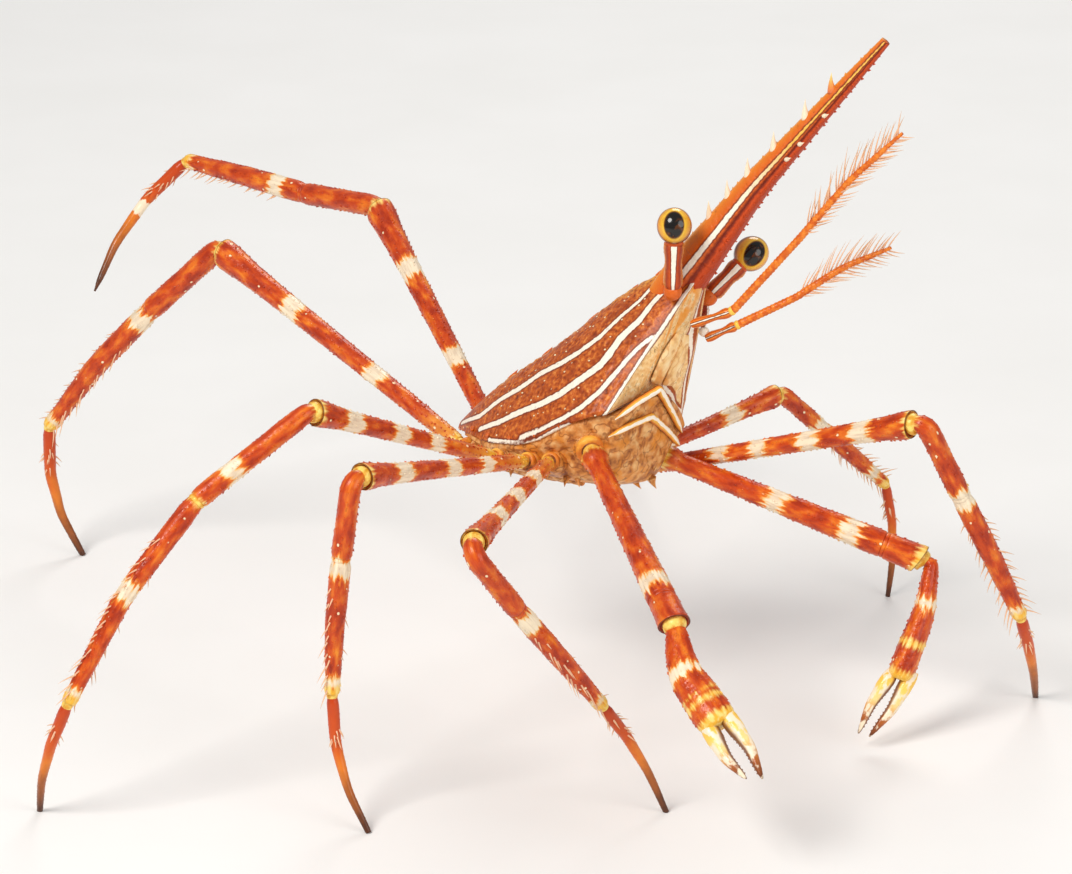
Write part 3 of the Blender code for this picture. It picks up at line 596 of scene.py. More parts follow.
    def ball(
        self, centre: np.ndarray, radius: float, up: np.ndarray, stretch: float, sides: int, rows: int,
        **fixed: float,
    ) -> None:
        """Adds a ball.

        Args:
            centre: Its middle.
            radius: Its radius across its axis.
            up: The unit vector of its axis.
            stretch: Its half length on the axis, as a multiple of the radius.
            sides: Points round each ring.
            rows: How many rings there are.
            fixed: Named values that are the same all over it.
        """
        side = across(np.array((0.6, 0.5, 0.4)), up)
        beside = np.cross(up, side)
        rise = math.pi * (np.arange(rows) + 0.35) / (rows - 0.3)
        turns = np.linspace(0, 2 * math.pi, sides, endpoint=False)
        ringed = side[None] * np.cos(turns)[:, None] + beside[None] * np.sin(turns)[:, None]
        poles = up * (radius * stretch * np.cos(rise))[:, None, None]
        rings = centre - poles + ringed * (radius * np.sin(rise))[:, None, None]
        values = {name: np.full(rings.shape[:2], value) for name, value in fixed.items()}
        self.loft(rings, ball=(rings - centre) / radius, **values)

    def build(self, finish: Material, slot: str, *nodes: str) -> bpy.types.Object:
        """Makes the piece's object.

        Args:
            finish: Its material.
            slot: The record's material slot; not used.
            nodes: The solids that it stands for.

        Returns:
            The object, riding on the body.
        """
        points = np.concatenate(self.points)
        loops = np.concatenate([face.ravel() for face in self.faces])
        sizes = np.concatenate([np.full(len(face), face.shape[1]) for face in self.faces])
        starts = np.concatenate(([0], np.cumsum(sizes)[:-1]))
        mesh = bpy.data.meshes.new(self.name)
        mesh.vertices.add(len(points))
        mesh.vertices.foreach_set("co", ((points - self.origin) * MM).astype(np.float32).ravel())
        mesh.loops.add(len(loops))
        mesh.loops.foreach_set("vertex_index", loops.astype(np.int32))
        mesh.polygons.add(len(sizes))
        mesh.polygons.foreach_set("loop_start", starts.astype(np.int32))
        mesh.polygons.foreach_set("use_smooth", np.ones(len(sizes), bool))
        self.values["shell"] = [(0, (points - BODY.middle) @ BODY.axes.T)]
        for name, parts in self.values.items():
            self.store(mesh, name, parts)
        if self.patches:
            flat = np.zeros((len(points), 2))
            for start, spots in self.patches:
                flat[start : start + len(spots)] = spots
            mesh.uv_layers.new(name="OFBake").data.foreach_set("uv", flat[loops].astype(np.float32).ravel())
        mesh.update(calc_edges=True)
        mesh.materials.append(finish)
        made = bpy.data.objects.new(self.name, mesh)
        bpy.context.scene.collection.objects.link(made)
        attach(made, BODY_NAME)
        if nodes:
            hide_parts(*nodes)
        log.info("%s: %d faces", self.name, len(sizes))
        return made

    @staticmethod
    def store(mesh: bpy.types.Mesh, name: str, parts: list[tuple[int, np.ndarray]]) -> None:
        """Stores a named value on a mesh's points.

        Args:
            mesh: The mesh.
            name: The value's name.
            parts: Runs of values, each led by the number of its first point. Points that no run reaches get
                nought for a vector, and unmarked for a number.
        """
        width = parts[0][1].shape[1]
        whole = np.full((len(mesh.vertices), width), 0.0 if width == 3 else UNMARKED)
        for start, value in parts:
            whole[start : start + len(value)] = value
        kind, key = ("FLOAT_VECTOR", "vector") if width == 3 else ("FLOAT", "value")
        mesh.attributes.new(name, kind, "POINT").data.foreach_set(key, whole.astype(np.float32).ravel())


def srgb(red: int, green: int, blue: int) -> tuple[float, float, float, float]:
    """A linear colour from screen values of 0 to 255."""
    linear = [((c / 255 + 0.055) / 1.055) ** 2.4 if c > 10 else c / 255 / 12.92 for c in (red, green, blue)]
    return (*linear, 1.0)


class Graph:
    """One material's nodes, with short words for the ones that the finishes use."""

    def __init__(self, name: str) -> None:
        """Starts a material.

        Args:
            name: Its own name.
        """
        self.material = bpy.data.materials.new(name)
        self.material.use_nodes = True
        self.tree = self.material.node_tree
        self.shader = self.tree.nodes["Principled BSDF"]

    def node(self, kind: str, inputs: dict[str | int, object], **settings: object) -> bpy.types.Node:
        """Makes a node.

        Args:
            kind: Its type.
            inputs: What its sockets are linked or set to.
            settings: Its own settings.

        Returns:
            The node.
        """
        made = self.tree.nodes.new(kind)
        for key, value in settings.items():
            setattr(made, key, value)
        for key, value in inputs.items():
            if isinstance(value, Socket):
                self.tree.links.new(value, made.inputs[key])
            else:
                made.inputs[key].default_value = value
        return made

    def value(self, name: str) -> Socket:
        """A number stored on the mesh's points."""
        return self.node("ShaderNodeAttribute", {}, attribute_name=name).outputs["Fac"]

    def vector(self, name: str, scale: Triple) -> Socket:
        """A vector stored on the mesh's points, scaled."""
        stored = self.node("ShaderNodeAttribute", {}, attribute_name=name).outputs["Vector"]
        return self.node("ShaderNodeVectorMath", {0: stored, 1: scale}, operation="MULTIPLY").outputs[0]

    def math(self, operation: str, first: object, second: object = 0.5) -> Socket:
        """One sum."""
        return self.node("ShaderNodeMath", {0: first, 1: second}, operation=operation).outputs[0]

    def noise(self, vector: object, scale: float, detail: float) -> Socket:
        """Cloudy noise from 0 to 1."""
        return self.node("ShaderNodeTexNoise",
                         {"Vector": vector, "Scale": scale, "Detail": detail}).outputs["Fac"]

    def cloud(self, name: str, scale: Triple, detail: float = 3.0) -> Socket:
        """Cloudy noise from 0 to 1 over a vector that is stored on the mesh."""
        return self.noise(self.vector(name, scale), 1.0, detail)

    def dots(self, name: str, scale: Triple, size: float, soft: float) -> Socket:
        """Scattered dots over a stored vector: one inside the soft radius, nought outside the size."""
        inputs = {"Vector": self.vector(name, scale), "Scale": 1.0}
        return self.rise(self.node("ShaderNodeTexVoronoi", inputs).outputs["Distance"], size, soft)

    def rise(self, value: object, low: float, high: float) -> Socket:
        """Nought below low, one above high, with a soft step between."""
        inputs = {"Value": value, "From Min": low, "From Max": high}
        return self.node("ShaderNodeMapRange", inputs, interpolation_type="SMOOTHSTEP").outputs[0]

    def mix(self, share: object, first: object, second: object) -> Socket:
        """One colour over another."""
        inputs = {0: share, 6: first, 7: second}
        return self.node("ShaderNodeMix", inputs, data_type="RGBA").outputs[2]

    def sway(self, value: object, cloud: object, depth: float) -> Socket:
        """A value moved up and down by a cloud, by depth from one end to the other."""
        return self.math("ADD", value, self.math("MULTIPLY", self.math("SUBTRACT", cloud, 0.5), depth))

    def grow(self, cloud: object, gain: float, least: float) -> Socket:
        """A cloud times a gain, over a least value."""
        return self.math("ADD", self.math("MULTIPLY", cloud, gain), least)

    def crest(self, value: object, place: float, foot: float, top: float) -> Socket:
        """One where a value is within top of a place, nought where it is further than foot."""
        return self.rise(self.math("ABSOLUTE", self.math("SUBTRACT", value, place)), foot, top)

    def tint(self, colour: object, share: object, over: object, weight: float = 1.0) -> Socket:
        """Lays a colour over another.

        Args:
            colour: The colour below.
            share: Where the other one lies, from 0 to 1.
            over: The other colour.
            weight: How thick it lies at most.

        Returns:
            The mixed colour.
        """
        if weight != 1.0:
            share = self.math("MULTIPLY", share, weight)
        return self.mix(share, colour, over)

    def ramp(self, value: object, *stops: tuple[float, Colour]) -> Socket:
        """Reads a colour from a row of them.

        Args:
            value: Where to read.
            stops: Each colour's position and the colour.

        Returns:
            The colour.
        """
        made = self.node("ShaderNodeValToRGB", {0: value})
        made.color_ramp.elements.remove(made.color_ramp.elements[1])
        made.color_ramp.elements[0].position = stops[0][0]
        made.color_ramp.elements[0].color = stops[0][1]
        for position, colour in stops[1:]:
            made.color_ramp.elements.new(position).color = colour
        return made.outputs["Color"]

    def finish(self, colour: object, rough: object, relief: object, depth: float, coat: float) -> Material:
        """Ends the material.

        Args:
            colour: Base colour.
            rough: Roughness.
            relief: Height, or None.
            depth: The height's depth in millimetres.
            coat: Weight of the clear coat.

        Returns:
            The material.
        """
        for key, value in (("Base Color", colour), ("Roughness", rough)):
            if isinstance(value, Socket):
                self.tree.links.new(value, self.shader.inputs[key])
            else:
                self.shader.inputs[key].default_value = value
        self.shader.inputs["Specular IOR Level"].default_value = SPECULAR
        self.shader.inputs["Coat Weight"].default_value = coat
        self.shader.inputs["Coat Roughness"].default_value = COAT_ROUGHNESS
        if relief is not None:
            made = self.node("ShaderNodeBump", {"Height": relief, "Distance": depth * MM, "Strength": 1.0})
            self.tree.links.new(made.outputs[0], self.shader.inputs["Normal"])
        return self.material


SPECULAR, COAT_ROUGHNESS = 0.25, 0.12
CREAM = srgb(244, 226, 196)
WHITE = srgb(250, 240, 222)
GOLD = srgb(238, 178, 52)
PALE_GOLD = srgb(246, 212, 122)
DEEP_RED = srgb(164, 46, 10)
RED = srgb(200, 70, 14)
ORANGE = srgb(226, 114, 28)
AMBER = srgb(232, 158, 64)


@dataclass(frozen=True)
class BandedShell:
    """Glossy orange-red limb shell with cream bands, golden joints and small white grains.

    flame is how far the edges of the bands flicker, dot the radius of a grain.
    """

    name: str = "banded_shell"
    flame: float = 1.6
    dot: float = 0.12

    def red(self, g: Graph, fine: Socket) -> Socket:
        """Mixes the shell's own orange-red, going over to amber where it is warm.

        Args:
            g: The material's nodes.
            fine: The shell's fine clouds.

        Returns:
            The colour.
        """
        clouds = g.cloud("limb", (1.3, 1.3, 0.5))
        red = g.ramp(clouds, (0.34, DEEP_RED), (0.5, RED), (0.66, ORANGE), (0.8, srgb(240, 154, 44)))
        red = g.tint(red, g.rise(fine, 0.56, 0.74), DEEP_RED, 0.5)
        return g.tint(red, g.rise(g.sway(g.value("warm"), clouds, 0.8), 0.15, 0.95), AMBER, 0.85)

    def make(self) -> Material:
        """Mixes the whole finish.

        Returns:
            The material.
        """
        g = Graph(self.name)
        streaks = g.cloud("limb", (2.6, 2.6, 0.45))
        fine = g.cloud("limb", (5.0, 5.0, 2.0), 2.0)
        dots = g.dots("limb", (0.8, 0.8, 0.62), self.dot, self.dot * 0.7)
        red = g.tint(self.red(g, fine), dots, srgb(252, 226, 184))
        pale = g.sway(g.value("pale"), streaks, self.flame * 2)
        cream = g.mix(g.rise(streaks, 0.36, 0.62), srgb(222, 200, 172), CREAM)
        cream = g.tint(cream, g.rise(pale, 0.42, 0.02), srgb(238, 184, 104))
        colour = g.tint(red, g.rise(pale, -0.6, -0.1), srgb(224, 112, 26))
        colour = g.tint(colour, g.rise(pale, -0.1, 0.08), cream)
        golden = g.mix(g.rise(streaks, 0.4, 0.65), GOLD, PALE_GOLD)
        gold = g.sway(g.value("gold"), streaks, self.flame)
        colour = g.tint(colour, g.rise(gold, -0.35, 0.3), golden)
        colour = g.tint(colour, g.rise(g.value("dark"), 0.0, 0.12), srgb(96, 40, 16))
        relief = g.math("ADD", fine, g.math("MULTIPLY", dots, 1.2))
        return g.finish(colour, g.grow(fine, 0.2, 0.24), relief, 0.05, 0.16)


@dataclass(frozen=True)
class StripedShell:
    """Brown-orange carapace with cream-white stripes, a beige face and a rostrum banded along its length, one
    band a painted highlight.
    """

    name: str = "striped_shell"

    def back(self, g: Graph, fine: Socket, dots: Socket) -> Socket:
        """Mixes the brown-orange of the back, with dark blotches, white grains and a painted amber highlight
        along the ridge.

        Args:
            g: The material's nodes.
            fine: The shell's fine clouds.
            dots: The shell's grains.

        Returns:
            The colour.
        """
        clouds = g.cloud("shell", (0.5, 0.9, 0.9))
        brown = g.ramp(fine, (0.28, srgb(118, 46, 14)), (0.42, srgb(170, 74, 20)), (0.56, srgb(198, 98, 34)),
                       (0.72, srgb(228, 142, 60)))
        brown = g.tint(brown, g.rise(clouds, 0.52, 0.68), srgb(140, 50, 14), 0.55)
        brown = g.tint(brown, dots, srgb(250, 224, 182))
        # The rim mark lays a painted amber highlight along the top of the ridge.
        rim = g.math("MULTIPLY", g.value("rim"), g.rise(fine, 0.34, 0.6))
        return g.tint(brown, rim, srgb(238, 166, 60))

    def face(self, g: Graph, fine: Socket) -> Socket:
        """Mixes the beige of the face, with amber streaks, fine cracks and its banded far margin.

        Args:
            g: The material's nodes.
            fine: The shell's fine clouds.

        Returns:
            The colour.
        """
        beige = g.ramp(fine, (0.3, srgb(226, 172, 104)), (0.5, srgb(246, 206, 142)),
                       (0.7, srgb(252, 228, 182)))
        streak = g.cloud("shell", (0.35, 1.6, 0.5))
        near = g.grow(g.rise(g.value("near"), -0.4, 0.8), 0.75, 0.12)
        beige = g.tint(beige, g.math("MULTIPLY", g.rise(streak, 0.46, 0.6), near), srgb(238, 152, 44))
        beige = g.tint(beige, g.crest(streak, 0.44, 0.014, 0.0), srgb(124, 78, 44), 0.75)
        margin = g.sway(g.value("margin"), fine, 0.5)
        beige = g.tint(beige, g.crest(margin, 1.3, 1.05, 0.8), srgb(168, 78, 24))
        return g.tint(beige, g.crest(margin, 1.3, 0.36, 0.24), WHITE)

    def beak(self, g: Graph, fine: Socket) -> Socket:
        """Mixes the rostrum's colours, from a painted amber highlight on its ridge over a dark groove to its
        dark red underside.

        Args:
            g: The material's nodes.
            fine: The shell's fine clouds.

        Returns:
            The colour.
        """
        turn = g.sway(g.value("beak"), fine, 0.09)
        # The bright amber stop at 0.16, beside the ridge, is a painted highlight.
        return g.ramp(turn, (0.0, srgb(214, 118, 36)), (0.16, srgb(238, 164, 62)), (0.34, srgb(224, 120, 32)),
                      (0.56, srgb(210, 88, 20)), (0.68, srgb(224, 100, 24)), (0.75, srgb(126, 36, 10)),
                      (0.79, srgb(132, 38, 10)), (0.84, srgb(200, 72, 16)), (1.0, srgb(176, 56, 12)))

    def make(self) -> Material:
        """Mixes the whole finish.

        Returns:
            The material.
        """
        g = Graph(self.name)
        fine = g.cloud("shell", (2.4, 2.4, 2.4), 4.0)
        dots = g.dots("shell", (0.9, 1.2, 1.2), 0.14, 0.1)
        colour = g.tint(self.back(g, fine, dots), g.rise(g.value("face"), -0.05, 0.1), self.face(g, fine))
        colour = g.tint(colour, g.rise(g.value("beak"), -0.5, -0.4), self.beak(g, fine))
        stripe = g.sway(g.value("stripe"), fine, 0.22)
        colour = g.tint(colour, g.rise(stripe, -0.24, -0.08), srgb(122, 46, 12))
        white = g.tint(WHITE, g.value("far"), srgb(248, 190, 84))
        colour = g.tint(colour, g.rise(stripe, -0.07, 0.03), white)
        relief = g.math("ADD", g.math("MULTIPLY", fine, 1.4), g.math("MULTIPLY", dots, 0.8))
        return g.finish(colour, g.grow(fine, 0.25, 0.26), relief, 0.1, 0.1)


@dataclass(frozen=True)
class UnderShell:
    """Brown and beige shell of the underside, with ochre patches and a tone for its ridges."""

    name: str = "under_shell"
    light: Colour = srgb(232, 184, 122)
    mid: Colour = srgb(206, 134, 66)
    dark: Colour = srgb(132, 68, 30)

    def make(self) -> Material:
        """Mixes the whole finish.

        Returns:
            The material.
        """
        g = Graph(self.name)
        fine = g.cloud("shell", (1.0, 1.0, 1.0))
        colour = g.ramp(fine, (0.3, self.dark), (0.48, self.mid), (0.68, self.light))
        patch = g.cloud("shell", (0.45, 0.45, 0.45), 2.0)
        colour = g.tint(colour, g.rise(patch, 0.5, 0.62), srgb(224, 140, 44), 0.75)
        fold = g.cloud("shell", (0.4, 0.7, 0.55), 2.0)
        colour = g.tint(colour, g.crest(fold, 0.5, 0.03, 0.0), self.dark, 0.7)
        # ridge also carries the painted highlight on one side of each collar fold.
        ridge = g.sway(g.value("ridge"), fine, 0.5)
        for low, high, over in ((-0.9, -0.7, srgb(110, 52, 22)), (-0.1, 0.1, srgb(218, 124, 40)),
                                (0.4, 0.65, srgb(242, 178, 70)), (0.84, 0.92, WHITE)):
            colour = g.tint(colour, g.rise(ridge, low, high), over)
        return g.finish(colour, g.grow(fine, 0.3, 0.32), fine, 0.22, 0.06)


@dataclass(frozen=True)
class TaperedTip:
    """A point whose colour runs along it, such as a dactyl, a claw finger or a bristle.

    inner is the colour of the side that faces the other finger.
    """

    name: str
    stops: tuple[tuple[float, Colour], ...]
    rough: float = 0.3
    inner: Colour | None = None

    def make(self) -> Material:
        """Mixes the whole finish.

        Returns:
            The material.
        """
        g = Graph(self.name)
        cloud = g.cloud("limb", (1.4, 1.4, 0.7))
        colour = g.ramp(g.sway(g.value("share"), cloud, 0.3), *self.stops)
        colour = g.tint(colour, g.rise(g.sway(g.value("pale"), cloud, 2.0), -0.1, 0.1), CREAM)
        if self.inner is not None:
            colour = g.tint(colour, g.rise(g.sway(g.value("inner"), cloud, 0.5), 0.45, 0.8), self.inner, 0.9)
        return g.finish(colour, self.rough, cloud, 0.05, 0.2)


@dataclass(frozen=True)
class EyeSurface:
    """Wet gold eye with a dark oval pupil in a darker ring, and painted shade towards the ball's outline."""

    name: str = "eye_gold"

    def make(self) -> Material:
        """Mixes the whole finish.

        Returns:
            The material.
        """
        g = Graph(self.name)
        cloud = g.cloud("ball", (3.0, 3.0, 3.0))
        # Past the gold ring the ramp darkens towards orange-brown: painted shade towards the ball's outline.
        colour = g.ramp(g.value("pupil"), (0.0, srgb(16, 12, 10)), (0.46, srgb(20, 14, 10)),
                        (0.50, srgb(110, 62, 14)), (0.55, srgb(240, 190, 56)), (0.78, srgb(226, 150, 36)),
                        (1.0, srgb(196, 110, 28)))
        colour = g.tint(colour, g.rise(cloud, 0.55, 0.7), srgb(150, 80, 22), 0.3)
        # rim grows as a place turns away from the viewer: painted shade at the ball's outline.
        colour = g.tint(colour, g.rise(g.value("rim"), 0.5, 0.82), srgb(126, 56, 16))
        return g.finish(colour, 0.14, None, 0.0, 0.5)


@dataclass(frozen=True)
class StalkShell:
    """Red-brown stalk with tan edges and one white line down its front, darkened by painted shade towards its
    hind side.
    """

    name: str
    front: Colour = srgb(196, 78, 20)
    shade: Colour = srgb(152, 50, 16)

    def make(self) -> Material:
        """Mixes the whole finish.

        Returns:
            The material.
        """
        g = Graph(self.name)
        cloud = g.cloud("shell", (2.2, 2.2, 2.2))
        side = g.sway(g.value("side"), cloud, 0.16)
        # side runs from the face towards the viewer round to the back; the dark stop at the back is painted
        # shade.
        colour = g.ramp(side, (0.1, self.front), (0.26, self.shade), (0.42, srgb(222, 138, 52)),
                        (0.6, srgb(196, 92, 28)), (1.0, srgb(120, 44, 16)))
        white = g.sway(g.value("white"), cloud, 0.1)
        colour = g.tint(colour, g.rise(white, -0.14, -0.04), srgb(110, 40, 14))
        colour = g.tint(colour, g.rise(white, -0.03, 0.03), WHITE)
        return g.finish(colour, 0.3, cloud, 0.06, 0.15)


@dataclass(frozen=True)
class PlainSkin:
    """A softly clouded finish of two colours, such as joint membrane."""

    name: str
    light: Colour
    dark: Colour
    rough: float = 0.36

    def make(self) -> Material:
        """Mixes the whole finish.

        Returns:
            The material.
        """
        g = Graph(self.name)
        cloud = g.cloud("limb", (1.8, 1.8, 1.8))
        colour = g.mix(g.rise(cloud, 0.35, 0.65), self.dark, self.light)
        return g.finish(colour, self.rough, cloud, 0.08, 0.15)


class Finishes:
    """Every finish of the crab, made once."""

    def __init__(self) -> None:
        """Makes the materials."""
        self.banded = BandedShell().make()
        self.striped = StripedShell().make()
        self.under = UnderShell().make()
        mouth = UnderShell("mouth_plate", srgb(250, 222, 170), srgb(242, 198, 132), srgb(208, 146, 84))
        self.mouth = mouth.make()
        self.membrane = PlainSkin("joint_membrane", srgb(248, 216, 112), srgb(222, 158, 48)).make()
        self.dactyl = TaperedTip("dactyl_shell", (
            (0.0, srgb(188, 60, 12)), (0.3, srgb(206, 82, 18)), (0.5, srgb(222, 122, 34)),
            (0.68, srgb(170, 92, 36)), (0.95, srgb(84, 46, 26)),
        )).make()
        self.claw = TaperedTip("claw_shell", (
            (0.0, srgb(242, 184, 62)), (0.25, srgb(248, 206, 96)), (0.45, srgb(244, 214, 144)),
            (0.6, srgb(222, 158, 78)), (0.72, srgb(178, 96, 40)), (0.95, srgb(96, 48, 24)),
        ), inner=srgb(128, 72, 46)).make()
        self.bristle = TaperedTip("bristle", (
            (0.0, srgb(210, 98, 22)), (0.5, srgb(230, 134, 38)), (1.0, srgb(196, 118, 50)),
        ), 0.4).make()
        self.spine = TaperedTip("rostrum_spine", (
            (0.0, srgb(214, 92, 22)), (0.45, srgb(236, 150, 48)), (0.8, srgb(248, 206, 104)),
            (1.0, srgb(250, 226, 160)),
        )).make()
        self.feeler = PlainSkin("feeler_shell", srgb(236, 134, 42), srgb(206, 92, 22), 0.34).make()
        self.stalk = StalkShell("stalk_shell").make()
        self.root = StalkShell("feeler_root", srgb(236, 132, 40), srgb(206, 86, 22)).make()
        self.bead = PlainSkin("feeler_bead", srgb(252, 216, 96), srgb(236, 176, 60), 0.25).make()
        self.eye = EyeSurface().make()


# Radii of small rounded things, from one end to the other or from root to point.
BULGE = ((0.0, 0.5), (0.25, 0.92), (0.5, 1.0), (0.75, 0.92), (1.0, 0.5))
BRISTLE_TAPER = (0.9, 1.0, 0.88, 0.66, 0.4, 0.08)
SPINE_TAPER = (1.25, 1.05, 0.84, 0.62, 0.4, 0.2, 0.05)
TOOTH_TAPER = (1.2, 0.85, 0.45, 0.08)
# How sharply a limb bends where it leaves the thorax, and at its knee or wrist.
HIP_BEND, KNEE_BEND = 1.5, 1.2
# A limb's root in the thorax: furthest out, share of the hip's out and of its along, and level.
ROOT_FURTHEST, ROOT_OUT, ROOT_ALONG, ROOT_LEVEL = 2.4, 0.4, 0.92, -0.7


def limb_path(hip: Triple, side: Side, corners: list[np.ndarray], radii: list[float]) -> Path:
    """Draws a limb's middle line, with its outer side found from its knee.

    Args:
        hip: Where it leaves the body.
        side: The side that it is on.
        corners: World places from the knee or wrist to the tip.
        radii: A radius for each of them but the tip.

    Returns:
        The line, from its root inside the thorax.
    """
    out = math.copysign(min(ROOT_FURTHEST, abs(hip[1]) * ROOT_OUT), side.value)
    root, start = BODY.point((hip[0] * ROOT_ALONG, out, ROOT_LEVEL)), BODY.point(hip)
    bent = across(unit(corners[1] - corners[0]), unit(corners[0] - start))
    return Path([root, start, *corners], [HIP_BEND, *radii], across(-bent, unit(start - root)))


def placed(start: float, end: float, bands: tuple[Pair, ...]) -> tuple[Pair, ...]:
    """Bands as distances on a path, from shares of the length between two places."""
    return tuple((start + share * (end - start), half) for share, half in bands)


@dataclass(frozen=True)
class Leg:
    """A walking leg: its hip on the body, the length, yaw and rise of its lengths, and its bands.

    bow and arch are how far the carpal joint and the middle of the propodus lie outside a straight line,
    curl is the same for the dactyl. A band is its share of the length from hip to knee, from knee to ankle
    or from ankle to tip, and half its length. bends are the radii of the corners from knee to dactyl.
    """

    number: int
    side: Side
    hip: Triple
    merus: Triple
    shin: Triple
    dactyl: tuple[float, ...]
    bow: float
    arch: float
    curl: float
    girth: float
    merus_bands: tuple[Pair, ...]
    shin_bands: tuple[Pair, ...]
    tip_bands: tuple[Pair, ...] = ()
    carpus_share: float = 0.37
    curl_shares: Pair = (0.35, 0.68)
    bends: Row = (KNEE_BEND, 10.0, 20.0, 1.6, 8.0, 8.0)

    @property
    def name(self) -> str:
        """The name that its nodes begin with."""
        return f"leg{self.number}_{self.side.word}"

    @property
    def raised(self) -> bool:
        """Whether it is held off the floor."""
        return len(self.dactyl) == 3

    def path(self) -> Path:
        """Draws its whole middle line.

        Returns:
            The line from the thorax to the tip.
        """
        hip = BODY.point(self.hip)
        knee = hip + heading(*self.merus[1:]) * self.merus[0]
        shin = heading(*self.shin[1:])
        ankle = knee + shin * self.shin[0]
        outer = heading(self.shin[1], self.shin[2] + 90)
        joint = knee + (ankle - knee) * self.carpus_share + outer * self.bow
        arch = (joint + ankle) / 2 + outer * self.arch
        if self.raised:
            tip = ankle + heading(*self.dactyl[1:]) * self.dactyl[0]
        else:
            reach = math.sqrt(self.dactyl[0] ** 2 - ankle[2] ** 2)
            tip = ankle * (1, 1, 0) + heading(self.dactyl[1], 0) * reach
        curl = across(shin, unit(tip - ankle)) * self.curl
        curls = [ankle + (tip - ankle) * share + curl for share in self.curl_shares]
        return limb_path(self.hip, self.side, [knee, joint, arch, ankle, *curls, tip], list(self.bends))


